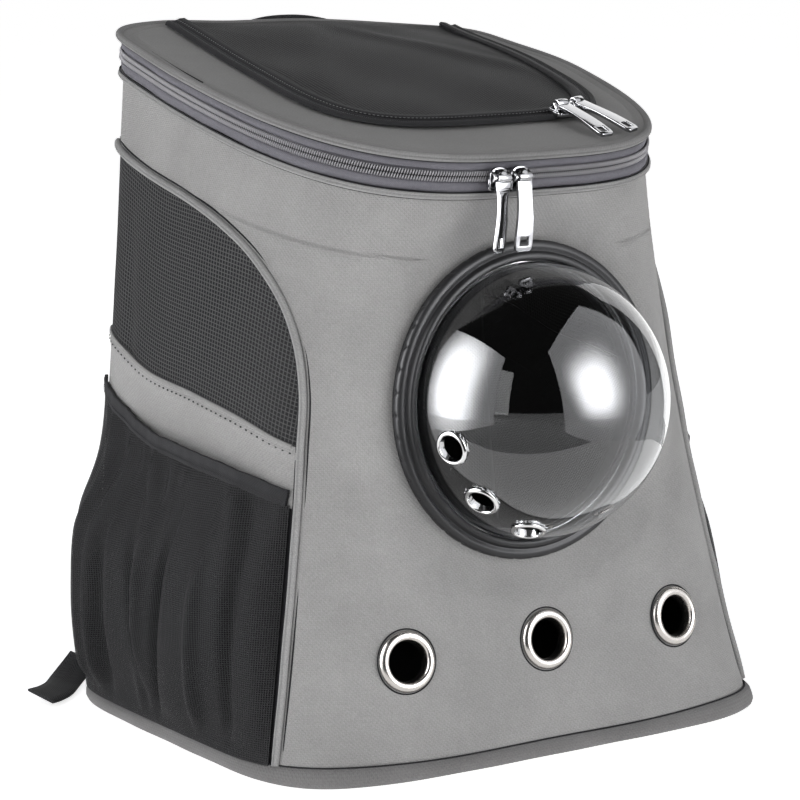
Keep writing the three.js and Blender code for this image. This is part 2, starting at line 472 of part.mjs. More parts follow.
// ---------------------------------------------------------------- zip sliders and pull tabs
const TAB = { len: 43, w: 11, t: 1.8 };
const LID_TAB_DROOP = 9;         // degrees that the lid's tabs dip from their bars to the cloth
function hardware(tagName, pivot, along, face, color, droop = 0) { // along: towards the tab's free end; face: away from the cloth; droop: how far the tab dips
  const yAxis = along.clone().negate().normalize(), zAxis = face.clone().addScaledVector(yAxis, -face.dot(yAxis)).normalize();
  const xAxis = yAxis.clone().cross(zAxis);
  const basis = new THREE.Matrix4().makeBasis(xAxis, yAxis, zAxis).setPosition(pivot);
  // a loop: the tab's eye is threaded on a thin bar between two cheeks
  const barHalf = 4.6, cheek = 1.6;
  const parts = [];
  const plate = new THREE.BoxGeometry(13, 12, 2.2); plate.translate(0, -1, -4.9); parts.push(plate);
  for (const s of [-1, 1]) { const b = new THREE.BoxGeometry(cheek, 4.4, 5.2); b.translate(s * (barHalf + cheek / 2), 0, -1.6); parts.push(b); }
  const rod = new THREE.CylinderGeometry(0.95, 0.95, 2 * barHalf + 1.0, 8); rod.rotateZ(Math.PI / 2); parts.push(rod);
  let m = null;
  for (const g of parts) { const q = solid(g); m = m ? m.add(q) : q; }
  const body = shape(m); body.applyMatrix4(basis);
  add(`slider_${tagName}`, body, C.chrome, 0.25, 1);
  const eyeTab = tabEye(); eyeTab.rotateX(THREE.MathUtils.degToRad(droop)); eyeTab.applyMatrix4(basis);
  add(`tab_${tagName}`, eyeTab, color, 0.2, 1);
}
// the pull tab seen from the side of the bar: a bored knuckle round the bar, then the flat blade with its slot
function tabEye() {
  const knuckle = new THREE.CylinderGeometry(2.6, 2.6, 8.2, 12); knuckle.rotateZ(Math.PI / 2);
  const bore = new THREE.CylinderGeometry(1.35, 1.35, 12, 12); bore.rotateZ(Math.PI / 2);
  const hw = TAB.w / 2, len = TAB.len;
  const rightSide = [[4.1, -1.0], [hw * 0.9, -9], [hw, -len * 0.6], [hw * 0.92, -len + 2.5], [hw * 0.6, -len]];
  const outline = [...rightSide, ...[...rightSide].reverse().map(([x, y]) => [-x, y])].reverse();
  const s = new THREE.Shape(outline.map(([x, y]) => new THREE.Vector2(x, y)));
  const slot = new THREE.Path(); slot.moveTo(-2.6, -len + 4); slot.lineTo(-2.6, -len + 11); slot.lineTo(2.6, -len + 11); slot.lineTo(2.6, -len + 4); slot.closePath();
  const eye = new THREE.Path(Array.from({ length: 8 }, (_, i) => new THREE.Vector2(1.7 * Math.cos(i * Math.PI / 4), -6.4 - 1.7 * Math.sin(i * Math.PI / 4))));
  s.holes.push(slot, eye);
  const blade = new THREE.ExtrudeGeometry(s, { depth: TAB.t, bevelEnabled: false, curveSegments: 4, steps: 1 });
  blade.translate(0, 0, -TAB.t / 2);
  return shape(solid(blade).add(solid(knuckle)).subtract(solid(bore)));
}
{
  const standoff = 10.4;          // from the lid's front edge line to the bars of the front pair
  // front pair: the sliders meet on the front of the band, the tabs hang down from them
  for (const [tag, x, lean] of [['front_1', -33.5, -0.05], ['front_2', -18.5, 0.02]]) {
    const z = 343.2, y = OUTLINE[2].frontY - standoff;
    hardware(tag, V(x, y, z), V(lean, 0, -1).normalize(), V(0, -1, 0), C.chrome);
  }
  // lid pair: they meet at the flap's front corner, the tabs lie on the lid towards the front
  const up = V(0, -LID_SLOPE, 1).normalize();
  for (const [tag, x, y, dx] of [['lid_1', 52, -107, 0.12], ['lid_2', 66, -104, 0.36]]) {
    const along = V(dx, -Math.sqrt(1 - dx * dx), 0); along.z = along.y * LID_SLOPE; along.normalize();
    const p = onLid([x, y], FLAP.lift + FLAP.zipH + GAP + 6.1);
    hardware(tag, p, along, up, C.chrome, LID_TAB_DROOP);
  }
}

// ---------------------------------------------------------------- straps and handle behind the bag
function strap(name, rows, width, thick, color, roughness = 0.9, faceHint = V(0, 1, 0)) { // rows: centre line with named columns
  const pts = rows.map((r) => V(r.x, r.y, r.z));
  const c = new THREE.CatmullRomCurve3(pts, false, 'centripetal'), n = (rows.length - 1) * 2;
  const line = c.getSpacedPoints(n);
  const rings = line.map((p, i) => {
    const t = c.getTangentAt(i / n);
    const face = faceHint.clone().addScaledVector(t, -t.dot(faceHint)).normalize(), across = t.clone().cross(face).normalize();
    const w = (typeof width === 'function' ? width(i / n) : width) / 2, h = thick / 2;
    return [[-w, -h * 0.5], [-w * 0.93, -h], [w * 0.93, -h], [w, -h * 0.5], [w, h * 0.5], [w * 0.93, h], [-w * 0.93, h], [-w, h * 0.5]]
      .map(([u, v]) => p.clone().addScaledVector(across, u).addScaledVector(face, v));
  });
  return add(name, ringSolid(rings), color, roughness);
}
for (const [s, tag] of [[-1, 'left'], [1, 'right']]) {
  strap(`shoulder_strap_${tag}`, [
    { x: s * 52, y: 121.6, z: 352 }, { x: s * 55, y: 134, z: 336 }, { x: s * 62, y: 145, z: 300 }, { x: s * 71, y: 150, z: 250 },
    { x: s * 78, y: 146, z: 195 }, { x: s * 82, y: 134, z: 140 }], (u) => 60 - 14 * u, 10, C.black);
  strap(`strap_webbing_${tag}`, [
    { x: s * 84, y: 130.5, z: 134.2 }, { x: s * 97, y: 127, z: 104 }, { x: s * 119, y: 125, z: 70 }, { x: s * 141, y: 122.5, z: 39 }, { x: s * 150, y: 120, z: 26 }], 25, 2.0, C.black);
  strap(`strap_tail_${tag}`, [
    { x: s * 156, y: 123, z: 15 }, { x: s * 165, y: 119, z: 9 }, { x: s * 177, y: 109, z: 5.4 }, { x: s * 188, y: 97, z: 4.8 }, { x: s * 199, y: 88, z: 5.4 }, { x: s * 208.5, y: 82, z: 6.4 }], 20, 1.8, C.black, 0.9, V(0, -0.36, 0.93));
}
strap('grab_handle', [
  { x: -56, y: 118.6, z: 372 }, { x: -53, y: 119.5, z: 392 }, { x: -40, y: 121.5, z: 406 }, { x: -20, y: 122.8, z: 412 }, { x: 0, y: 123, z: 413.5 },
  { x: 20, y: 122.8, z: 412 }, { x: 40, y: 121.5, z: 406 }, { x: 53, y: 119.5, z: 392 }, { x: 56, y: 118.6, z: 372 }], 17, 3, C.black);

const bag = new THREE.Group();
bag.name = 'pet_carrier_backpack';
bag.position.y = Y_SHIFT;
for (const p of pieces) bag.add(p);
export default bag;
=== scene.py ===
import math
import bpy
import numpy as np
from mathutils import Matrix, Vector

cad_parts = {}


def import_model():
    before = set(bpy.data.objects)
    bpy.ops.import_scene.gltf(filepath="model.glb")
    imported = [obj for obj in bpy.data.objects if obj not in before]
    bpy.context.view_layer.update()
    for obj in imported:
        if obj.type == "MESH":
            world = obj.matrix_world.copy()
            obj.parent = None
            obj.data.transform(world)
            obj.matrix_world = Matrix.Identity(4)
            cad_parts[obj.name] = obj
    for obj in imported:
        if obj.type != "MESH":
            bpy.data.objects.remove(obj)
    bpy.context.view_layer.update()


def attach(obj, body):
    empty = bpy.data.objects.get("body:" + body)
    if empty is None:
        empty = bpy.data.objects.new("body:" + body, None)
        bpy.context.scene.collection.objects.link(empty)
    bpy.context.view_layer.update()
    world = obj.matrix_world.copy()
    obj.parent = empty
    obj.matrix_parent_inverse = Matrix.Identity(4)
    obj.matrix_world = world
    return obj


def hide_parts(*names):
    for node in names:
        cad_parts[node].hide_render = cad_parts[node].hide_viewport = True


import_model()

# ------------------------------------------------------------------ sizes, in mm, in the bag's own frame (y + YS is the row's y)
YS = 41.16
AROUND, QUARTER = 40, 10
FRONT_LID_Z, LID_SLOPE, FRONT_Y = 356.2, 0.23, -156.0
OUT = dict(midX=(0, -2.2, -0.8), halfWidth=(181.1, 156.3, 136.4), frontY=(-182.2, -151.6, -156.0), midY=(-51.1, 3.5, 58.1),
           backY=(110.0, 111.5, 113.5), frontPower=(4.86, 4.0, 3.13), backPower=(6.9, 6.4, 5.2))
DOME = dict(x=-4.5, y=-147.5, z=208.8, tilt=math.radians(3.5), ring=94.5, hole=85.0, bubble=82.0, wall=2.4, seat=8.0, flat_in=98.0, flat_out=124.0)
VENTS = ((71.2, 76.7), (69.0, 49.3), (67.1, 21.5))
SEAM = np.array([(-142.2, -4), (-129.3, 92), (-117.6, 186), (-113.0, 222), (-106.0, 248), (-92.0, 273), (-70.0, 294), (-38.0, 311), (5.0, 324), (55.0, 335), (106.0, 350)], float)
BAND_TOP = np.array([(-170, 179), (-115, 189), (-73, 201), (-24, 208.5), (32, 214.6), (72, 227), (130, 243)], float)
BAND_FOOT = np.array([(-170, 146), (-120, 154), (-87, 162), (-40, 167.4), (18, 172.2), (63, 183), (130, 206)], float)
BACK_Y = 99.0
EYE_X, EYE_Z = (-98.5, 0.0, 98.5), 66.3
DROP = dict(lid=1.0, tape_top=4.0, coil=12.6, tape_foot=21.8, hem=24.3, body=25.4)


def smooth(v):
    v = np.clip(v, 0, 1)
    return v * v * (3 - 2 * v)


def curve2(rows, n=400):
    """A smooth line through the rows, as dense points."""
    p = [rows[0] * 2 - rows[1], *rows, rows[-1] * 2 - rows[-2]]
    out = []
    for i in range(1, len(p) - 2):
        a, b, c, d = p[i - 1], p[i], p[i + 1], p[i + 2]
        t0 = 0.0
        t1 = t0 + max(1e-6, np.linalg.norm(b - a)) ** 0.5
        t2 = t1 + max(1e-6, np.linalg.norm(c - b)) ** 0.5
        t3 = t2 + max(1e-6, np.linalg.norm(d - c)) ** 0.5
        t = np.linspace(t1, t2, n // (len(p) - 3) + 2)[:-1, None]
        a1 = (t1 - t) / (t1 - t0) * a + (t - t0) / (t1 - t0) * b
        a2 = (t2 - t) / (t2 - t1) * b + (t - t1) / (t2 - t1) * c
        a3 = (t3 - t) / (t3 - t2) * c + (t - t2) / (t3 - t2) * d
        b1 = (t2 - t) / (t2 - t0) * a1 + (t - t0) / (t2 - t0) * a2
        b2 = (t3 - t) / (t3 - t1) * a2 + (t - t1) / (t3 - t1) * a3
        out.append((t2 - t) / (t2 - t1) * b1 + (t - t1) / (t2 - t1) * b2)
    return np.vstack([*out, rows[-1][None]])


SEAM_L, TOP_L, FOOT_L = curve2(SEAM), curve2(BAND_TOP), curve2(BAND_FOOT)
seam_z = lambda y: np.interp(y, SEAM_L[:, 0], SEAM_L[:, 1], left=-1e3)
seam_y = lambda z: np.interp(z, SEAM_L[:, 1], SEAM_L[:, 0])
top_of = lambda y: np.interp(y, TOP_L[:, 0], TOP_L[:, 1])
foot_of = lambda y: np.interp(y, FOOT_L[:, 0], FOOT_L[:, 1])
top_z = lambda y: FRONT_LID_Z + (y - FRONT_Y) * LID_SLOPE


def q3(key, t):
    a, b, c = OUT[key]
    return a * (2 * t - 1) * (t - 1) + 4 * b * t * (1 - t) + c * t * (2 * t - 1)


def outline(k, t, off=0.0):
    k = np.mod(np.asarray(k, float), AROUND)
    q = np.floor(k / QUARTER)
    v = 2 * (k - q * QUARTER) / QUARTER - 1
    a = np.radians(q * 90 + 45 + 45 * np.sign(v) * np.abs(v) ** 1.5)
    c, s = np.cos(a), np.sin(a)
    mid, w = q3("midY", t), q3("halfWidth", t) + off
    n = np.where(s > 0, q3("backPower", t), q3("frontPower", t))
    d = np.where(s > 0, q3("backY", t) + off - mid, mid - q3("frontY", t) + off)
    k0 = (np.abs(c) ** n + np.abs(s) ** n) ** (-1 / n)
    return q3("midX", t) + w * c * k0, mid + d * s * k0


def bag(k, t, off=0.0):
    """Points of the bag's outer surface, n x 3."""
    k, t = np.broadcast_arrays(np.asarray(k, float), np.asarray(t, float))
    x, y = outline(k, t, off)
    z = t * top_z(y)
    rho = np.hypot(x - DOME["x"], (z - DOME["z"]) / math.cos(DOME["tilt"]))
    w = np.where(y < q3("midY", t), 1 - smooth((rho - DOME["flat_in"]) / (DOME["flat_out"] - DOME["flat_in"])), 0)
    y = y + w * (DOME["y"] + (z - DOME["z"]) * math.tan(DOME["tilt"]) - off - y)
    return np.stack([x, y, z], -1)


def normal(k, t, off=0.0):
    a, b = bag(k - 0.12, t, off), bag(k + 0.12, t, off)
    c, d = bag(k, t - 0.004, off), bag(k, t + 0.004, off)
    n = np.cross(b - a, d - c)
    return n / np.linalg.norm(n, axis=-1, keepdims=True)


def lid_ring(k, drop, off):
    x, y = outline(k, 0.965, off)
    t = 1 - drop / top_z(y)
    x, y = outline(k, np.minimum(1, t), off)
    return np.stack([x, y, top_z(y) - drop], -1)


def level_ring(k, z, off):
    _, y = outline(k, 0 * np.asarray(k, float), off)
    x, y = outline(k, z / top_z(y), off)
    return np.stack([x, y, 0 * x + z], -1)


def side_k(y, z, side):
    """Place round the bag of a side wall's point, by its side view."""
    y, z = np.broadcast_arrays(np.asarray(y, float), np.asarray(z, float))
    lo, hi = np.full(y.shape, 10.0), np.full(y.shape, 30.0)
    for _ in range(34):
        k = (lo + hi) / 2
        kk = k if side < 0 else 20 - k
        t = z / top_z(y)
        back = bag(kk, t)[..., 1] > y
        lo, hi = np.where(back, k, lo), np.where(back, hi, k)
    k = (lo + hi) / 2
    return (k if side < 0 else 20 - k), z / top_z(y)


def side_point(y, z, side, off=0.0):
    k, t = side_k(y, z, side)
    n = normal(k, t)
    p = bag(k, t)
    return p + n * np.asarray(off)[..., None] if np.ndim(off) else p + n * off, n


def unit(v):
    return v / np.maximum(1e-12, np.linalg.norm(v, axis=-1, keepdims=True))


def sag(p):
    """The soft top's droop towards its back right corner, and a small rise towards its back left one."""
    x, y, z = p[..., 0], p[..., 1], p[..., 2]
    d = 7.5 * smooth((x + 10) / 140) * smooth((y + 10) / 120) * smooth((z - 225) / 130)
    d = d - 2.2 * smooth((-x - 40) / 60) * smooth((y - 20) / 90) * smooth((z - 300) / 60)
    q = p.copy()
    q[..., 2] = z - d
    return q


# ------------------------------------------------------------------ mesh making
def world(p):
    q = np.array(p, float).copy()
    q[..., 1] += YS
    return q / 1000.0


ALL = {}


def make(name, verts, faces, mats, uv=None, mat_of=None, angle=50, body="bag", rep=(), slot=None, soft=True):
    v = sag(np.asarray(verts, float)) if soft else np.asarray(verts, float)
    me = bpy.data.meshes.new(name)
    me.from_pydata(world(v).tolist(), [], faces if isinstance(faces, list) else faces.tolist())
    if uv is not None:
        layer = me.uv_layers.new(name="UVMap")
        loops = np.zeros(len(me.loops), np.int32)
        me.loops.foreach_get("vertex_index", loops)
        layer.data.foreach_set("uv", (np.asarray(uv, float)[loops] / 1000.0).astype(np.float32).ravel())
    for m in mats:
        me.materials.append(m)
    if mat_of is not None:
        me.polygons.foreach_set("material_index", np.asarray(mat_of, np.int32))
    me.polygons.foreach_set("use_smooth", np.ones(len(me.polygons), bool))
    me.update()
    if angle:
        me.set_sharp_from_angle(angle=math.radians(angle))
    o = bpy.data.objects.new(name, me)
    bpy.context.scene.collection.objects.link(o)
    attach(o, body)
    if rep:
        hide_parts(*rep)
    ALL[name] = o
    return o


def grid_faces(m, n, wrap=False):
    i, j = np.meshgrid(np.arange(m - 1), np.arange(n if wrap else n - 1), indexing="ij")
    j2 = (j + 1) % n
    return np.stack([i * n + j, i * n + j2, (i + 1) * n + j2, (i + 1) * n + j], -1).reshape(-1, 4)


def grid_normals(P, wrap=False):
    if wrap:
        du = np.roll(P, -1, 1) - np.roll(P, 1, 1)
    else:
        du = np.gradient(P, axis=1)
    dv = np.gradient(P, axis=0)
    return unit(np.cross(du, dv))


def shell(name, P, uv, thick, mats, out_sign=1, wrap=False, keep=None, **kw):
    """A cloth wall: outer face P (m x n x 3), inner face thick mm behind it, closed round its rims. mats: outer, inner, rim."""
    m, n, _ = P.shape
    N = grid_normals(P, wrap) * out_sign
    F = grid_faces(m, n, wrap)
    if keep is not None:
        F = F[keep[F].all(1)] if keep.ndim == 1 else F
    if out_sign < 0:
        F = F[:, ::-1]
    th = np.broadcast_to(np.asarray(thick, float), (m, n))[..., None]
    V = np.concatenate([P.reshape(-1, 3), (P - N * th).reshape(-1, 3)])
    K = m * n
    e = np.stack([F, np.roll(F, -1, 1)], -1).reshape(-1, 2)
    key, rev = e[:, 0].astype(np.int64) * (2 * K) + e[:, 1], e[:, 1].astype(np.int64) * (2 * K) + e[:, 0]
    rim = e[~np.isin(key, rev)]
    R = np.stack([rim[:, 1], rim[:, 0], rim[:, 0] + K, rim[:, 1] + K], -1)
    faces = np.concatenate([F, F[:, ::-1] + K, R])
    mo = np.concatenate([np.zeros(len(F), int), np.full(len(F), 1 if len(mats) > 1 else 0), np.full(len(R), 2 if len(mats) > 2 else 0)])
    used = np.zeros(2 * K, bool)
    used[faces.ravel()] = True
    idx = np.cumsum(used) - 1
    UV = np.concatenate([uv.reshape(-1, 2), uv.reshape(-1, 2)])
    return make(name, V[used], idx[faces], mats, uv=UV[used], mat_of=mo, **kw)


def frames(path, hint=None, closed=False):
    t = (np.roll(path, -1, 0) - np.roll(path, 1, 0)) if closed else np.gradient(path, axis=0)
    t = unit(t)
    if hint is None:
        h = np.array([0.0, 0, 1]) if abs(t[0][2]) < 0.8 else np.array([1.0, 0, 0])
        out = [unit(h - t[0] * (h @ t[0]))]
        for i in range(1, len(path)):
            o = out[-1] - t[i] * (out[-1] @ t[i])
            out.append(unit(o))
        o = np.array(out)
    else:
        hint = np.broadcast_to(hint, path.shape)
        o = unit(hint - t * (hint * t).sum(-1, keepdims=True))
    return t, o, np.cross(t, o)


def sweep(name, path, section, mats, hint=None, closed=False, **kw):
    """section: rows (towards hint, across), closed; round caps are flat fans."""
    path = np.asarray(path, float)
    t, o, w = frames(path, hint, closed)
    S = np.asarray(section, float)
    if S.ndim == 2:
        S = np.broadcast_to(S, (len(path), *S.shape))
    P = path[:, None] + o[:, None] * S[..., :1] + w[:, None] * S[..., 1:2]
    m, n = P.shape[:2]
    L = np.concatenate([[0], np.cumsum(np.linalg.norm(np.diff(path, axis=0), axis=1))])
    g = np.concatenate([[0], np.cumsum(np.linalg.norm(np.diff(S[0], axis=0), axis=1))])
    uv = np.stack(np.broadcast_arrays(L[:, None], g[None]), -1).reshape(-1, 2)
    F = grid_faces(m, n, True)
    if closed:
        j = np.arange(n)
        F = np.concatenate([F, np.stack([(m - 1) * n + j, (m - 1) * n + (j + 1) % n, (j + 1) % n, j], -1)])
    V = P.reshape(-1, 3)
    faces = F[:, ::-1].tolist()
    if not closed:
        faces.append(list(range(n)))
        faces.append([(m - 1) * n + i for i in range(n)][::-1])
    # outward facing: the swept solid's signed volume tells
    a, b, c = V[F[:, 0]], V[F[:, 1]], V[F[:, 2]]
    d = V[F[:, 3]]
    vol = (a * np.cross(b, c)).sum() + (a * np.cross(c, d)).sum()
    if vol > 0:
        faces = [f[::-1] for f in faces]
    return make(name, V, faces, mats, uv=uv, **kw)


def circle(r, n=10, rv=None):
    a = 2 * math.pi * (np.arange(n) + 0.5) / n
    return np.stack([r * np.cos(a), (rv or r) * np.sin(a)], -1)


def resample(p, step=None, n=None, closed=False):
    p = np.asarray(p, float)
    if closed:
        p = np.vstack([p, p[:1]])
    L = np.concatenate([[0], np.cumsum(np.linalg.norm(np.diff(p, axis=0), axis=1))])
    if n is None:
        n = max(4, int(round(L[-1] / step)))
    s = np.linspace(0, L[-1], n + 1)[:-1] if closed else np.linspace(0, L[-1], n)
    return np.stack([np.interp(s, L, p[:, i]) for i in range(p.shape[1])], -1)


def lathe(name, prof, centre, axis, mats, seg=96, wobble=None, **kw):
    """prof: rows (radius, height), closed. axis: the direction of +height."""
    prof = np.asarray(prof, float)
    axis = unit(np.asarray(axis, float))
    h = np.array([1.0, 0, 0]) if abs(axis[0]) < 0.8 else np.array([0, 1.0, 0])
    X = unit(h - axis * (h @ axis))
    Y = np.cross(axis, X)
    th = 2 * math.pi * np.arange(seg) / seg
    r = np.broadcast_to(prof[:, :1], (len(prof), seg)).copy()
    if wobble is not None:
        r = r + wobble(prof, th)
    P = np.asarray(centre) + axis * prof[:, 1][:, None, None] + r[..., None] * (np.cos(th)[None, :, None] * X + np.sin(th)[None, :, None] * Y)
    m = len(prof)
    i, j = np.meshgrid(np.arange(m), np.arange(seg), indexing="ij")
    F = np.stack([i * seg + j, ((i + 1) % m) * seg + j, ((i + 1) % m) * seg + (j + 1) % seg, i * seg + (j + 1) % seg], -1).reshape(-1, 4)
    V = P.reshape(-1, 3)
    a, b, c, d = (V[F[:, q]] for q in range(4))
    if (a * np.cross(b, c)).sum() + (a * np.cross(c, d)).sum() < 0:
        F = F[:, ::-1]
    g = np.concatenate([[0], np.cumsum(np.linalg.norm(np.diff(prof, axis=0), axis=1))])
    uv = np.stack(np.broadcast_arrays(th[None] * prof[:, 0].max(), g[:, None]), -1).reshape(-1, 2)
    return make(name, V, F, mats, uv=uv, **kw)


def rounded(points, r=0.6, n=3):
    """Rounds the corners of a closed profile."""
    p, out = np.asarray(points, float), []
    for i in range(len(p)):
        a, b, c = p[i - 1], p[i], p[(i + 1) % len(p)]
        u, w = a - b, c - b
        lu, lw = np.linalg.norm(u), np.linalg.norm(w)
        d = min(r, lu * 0.45, lw * 0.45)
        s, e = b + u / lu * d, b + w / lw * d
        for k in range(n + 1):
            q = k / n
            out.append((1 - q) ** 2 * s + 2 * q * (1 - q) * b + q * q * e)
    return np.array(out)


# one small blob, copied along a line: stitches and zip teeth
def blob(nu=8, nv=5, square=0.8):
    V, F = [], []
    for i in range(1, nv):
        b = math.pi * i / nv
        for j in range(nu):
            a = 2 * math.pi * (j + 0.5) / nu
            c = np.array([math.cos(b), math.sin(b) * math.cos(a), math.sin(b) * math.sin(a)])
            V.append(np.sign(c) * np.abs(c) ** square)
    V = [np.array([1.0, 0, 0])] + V + [np.array([-1.0, 0, 0])]
    for j in range(nu):
        F.append([0, 1 + j, 1 + (j + 1) % nu])
        for i in range(nv - 2):
            a, b = 1 + i * nu + j, 1 + i * nu + (j + 1) % nu
            F.append([a, a + nu, b + nu, b])
        e = 1 + (nv - 2) * nu
        F.append([e + j, len(V) - 1, e + (j + 1) % nu])
    return np.array(V), F


def scatter(name, pos, X, Y, Z, size, mats, shape=None, **kw):
    BV, BF = shape or blob(6, 4)
    pos, X, Y, Z = (np.asarray(q, float) for q in (pos, X, Y, Z))
    V = pos[:, None] + BV[None, :, 0:1] * X[:, None] * size[0] + BV[None, :, 1:2] * Y[:, None] * size[1] + BV[None, :, 2:3] * Z[:, None] * size[2]
    flip = (np.cross(X[0], Y[0]) @ Z[0]) < 0
    n, faces = len(BV), []
    base = [f[::-1] if not flip else f for f in BF]
    for i in range(len(pos)):
        faces += [[a + i * n for a in f] for f in base]
    return make(name, V.reshape(-1, 3), faces, mats, angle=0, **kw)


def stitches(name, path, nor, mats, pitch=4.2, length=2.9, w=0.42, h=0.32, closed=False, lift=0.15, **kw):
    p = resample(np.hstack([path, nor]), step=pitch, closed=closed)
    pos, n = p[:, :3], unit(p[:, 3:])
    t = unit(np.roll(pos, -1, 0) - np.roll(pos, 1, 0)) if closed else unit(np.gradient(pos, axis=0))
    n = unit(n - t * (n * t).sum(-1, keepdims=True))
    return scatter(name, pos + n * lift, t, np.cross(n, t), n, (length / 2, w, h), mats, **kw)


# ------------------------------------------------------------------ materials
class Mat:
    def __init__(self, name, color=(0.5, 0.5, 0.5), rough=0.8, **fixed):
        self.m = bpy.data.materials.new(name)
        self.m.use_nodes = True
        self.t = self.m.node_tree
        self.b = self.t.nodes["Principled BSDF"]
        self.b.inputs["Base Color"].default_value = (*color, 1)
        self.b.inputs["Roughness"].default_value = rough
        for k, v in fixed.items():
            self.b.inputs[k.replace("_", " ")].default_value = v
        self.uv = None

    def node(self, kind, **props):
        n = self.t.nodes.new(kind)
        for k, v in props.items():
            setattr(n, k, v)
        return n

    def link(self, a, b):
        self.t.links.new(a, b)

    def val(self, sock, v):
        if isinstance(v, (int, float)):
            sock.default_value = v
        elif isinstance(v, tuple):
            sock.default_value = v
        else:
            self.link(v, sock)

    def math(self, op, a, b=0.0, c=None, clamp=False):
        n = self.node("ShaderNodeMath", operation=op, use_clamp=clamp)
        self.val(n.inputs[0], a)
        self.val(n.inputs[1], b)
        if c is not None:
            self.val(n.inputs[2], c)
        return n.outputs[0]

    def coords(self):
        if self.uv is None:
            u = self.node("ShaderNodeUVMap")
            s = self.node("ShaderNodeSeparateXYZ")
            self.link(u.outputs[0], s.inputs[0])
            self.uv = (s.outputs[0], s.outputs[1], u.outputs[0])
        return self.uv

    def noise(self, scale, detail=3.0, rough=0.55, vec=None):
        n = self.node("ShaderNodeTexNoise")
        n.inputs["Scale"].default_value = scale
        n.inputs["Detail"].default_value = detail
        n.inputs["Roughness"].default_value = rough
        if vec is None:
            tc = self.node("ShaderNodeTexCoord")
            vec = tc.outputs["Object"]
        self.link(vec, n.inputs["Vector"])
        return n.outputs["Fac"]

    def wave(self, x, pitch, phase=0.0):
        """0 to 1, one cycle for each pitch metres."""
        s = self.math("SINE", self.math("MULTIPLY_ADD", x, 2 * math.pi / pitch, phase))
        return self.math("MULTIPLY_ADD", s, 0.5, 0.5)

    def mix(self, f, a, b):
        n = self.node("ShaderNodeMix", data_type="RGBA")
        self.val(n.inputs[0], f)
        for i, v in ((6, a), (7, b)):
            if isinstance(v, tuple):
                n.inputs[i].default_value = (*v, 1) if len(v) == 3 else v
            else:
                self.link(v, n.inputs[i])
        return n.outputs[2]

    def color(self, v):
        self.val(self.b.inputs["Base Color"], v)

    def bump(self, h, dist=0.0003, strength=0.5):
        n = self.node("ShaderNodeBump")
        n.inputs["Distance"].default_value = dist
        n.inputs["Strength"].default_value = strength
        self.link(h, n.inputs["Height"])
        self.link(n.outputs[0], self.b.inputs["Normal"])

    def rough(self, v):
        self.val(self.b.inputs["Roughness"], v)


def scaled(c, k):
    return tuple(min(1.0, x * k) for x in c)


def cloth(name, c, pitch=0.00095, mottled=0.2, bump=0.9, sheen=0.06, shine=0.12):
    """Plain woven polyester: crossing threads with a faint diagonal, and uneven dye."""
    m = Mat(name, c, 0.88, Sheen_Weight=sheen, Sheen_Roughness=0.45, Specular_IOR_Level=shine)
    u, v, uv = m.coords()
    warp, weft = m.wave(u, pitch * 1.25), m.wave(v, pitch * 1.25, 0.7)
    twill = m.wave(m.math("ADD", u, v), pitch * 2.6)
    thread = m.math("ADD", m.math("MULTIPLY", warp, weft), m.math("MULTIPLY", twill, 0.55))
    fine, broad = m.noise(900, 2.5), m.noise(26, 3.0)
    k = m.math("ADD", m.math("MULTIPLY", fine, 0.75), m.math("MULTIPLY", broad, 0.55))
    k = m.math("ADD", k, m.math("MULTIPLY", thread, 0.22))
    m.color(m.mix(m.math("SUBTRACT", k, 0.2, clamp=True), scaled(c, 1 - mottled * 1.6), scaled(c, 1 + mottled * 1.6)))
    h = m.math("ADD", thread, m.math("MULTIPLY", fine, 0.8))
    m.bump(h, 0.00022, bump)
    return m.m


def net(name, hole, thread, pitch, width, bump=0.8, alpha_hole=1.0, rows=1.0, slope=0.0, dist=0.0006):
    """Open net: threads crossing at right angles round holes painted near-black, as painted shade of the dark space
    seen through them.
    """
    m = Mat(name, thread, 0.7, Sheen_Weight=0.01, Sheen_Roughness=0.4, Specular_IOR_Level=0.12)
    u, v, uv = m.coords()
    if slope:
        v = m.math("ADD", v, m.math("MULTIPLY", u, slope))
    a = m.wave(u, pitch)
    b = m.wave(m.math("ADD", v, 0.0), pitch * rows)
    tu = m.math("SMOOTH_MAX", a, b, 0.15)
    f = m.math("MULTIPLY", m.math("SUBTRACT", tu, 1 - width), 1 / width * 1.6, clamp=True)
    g = m.math("MULTIPLY", f, m.math("MULTIPLY_ADD", m.noise(700, 2.0), 0.9, 0.5))
    m.color(m.mix(g, hole, thread))
    m.bump(f, dist, bump)
    if alpha_hole < 1:
        m.val(m.b.inputs["Alpha"], m.math("MULTIPLY_ADD", f, 1 - alpha_hole, alpha_hole))
    return m.m


def webbing(name, c, pitch=0.0022):
    m = Mat(name, c, 0.7, Sheen_Weight=0.02, Sheen_Roughness=0.4, Specular_IOR_Level=0.15)
    u, v, uv = m.coords()
    chev = m.math("PINGPONG", v, 0.004)
    rib = m.wave(m.math("ADD", u, chev), pitch)
    k = m.math("MULTIPLY_ADD", m.noise(900, 2.0), 0.6, m.math("MULTIPLY", rib, 0.5))
    m.color(m.mix(k, scaled(c, 0.6), scaled(c, 1.6)))
    m.bump(m.math("ADD", rib, m.math("MULTIPLY", m.noise(1800, 1.0), 0.4)), 0.0005, 0.6)
    return m.m


def plastic(name, c, rough, grain=2200, bump=0.12):
    m = Mat(name, c, rough, Specular_IOR_Level=0.3)
    n, b = m.noise(grain, 2.0), m.noise(18, 4.0)
    m.rough(m.math("MULTIPLY_ADD", b, 0.16, rough - 0.08))
    m.color(m.mix(b, scaled(c, 0.8), scaled(c, 1.3)))
    m.bump(n, 0.00008, bump)
    return m.m


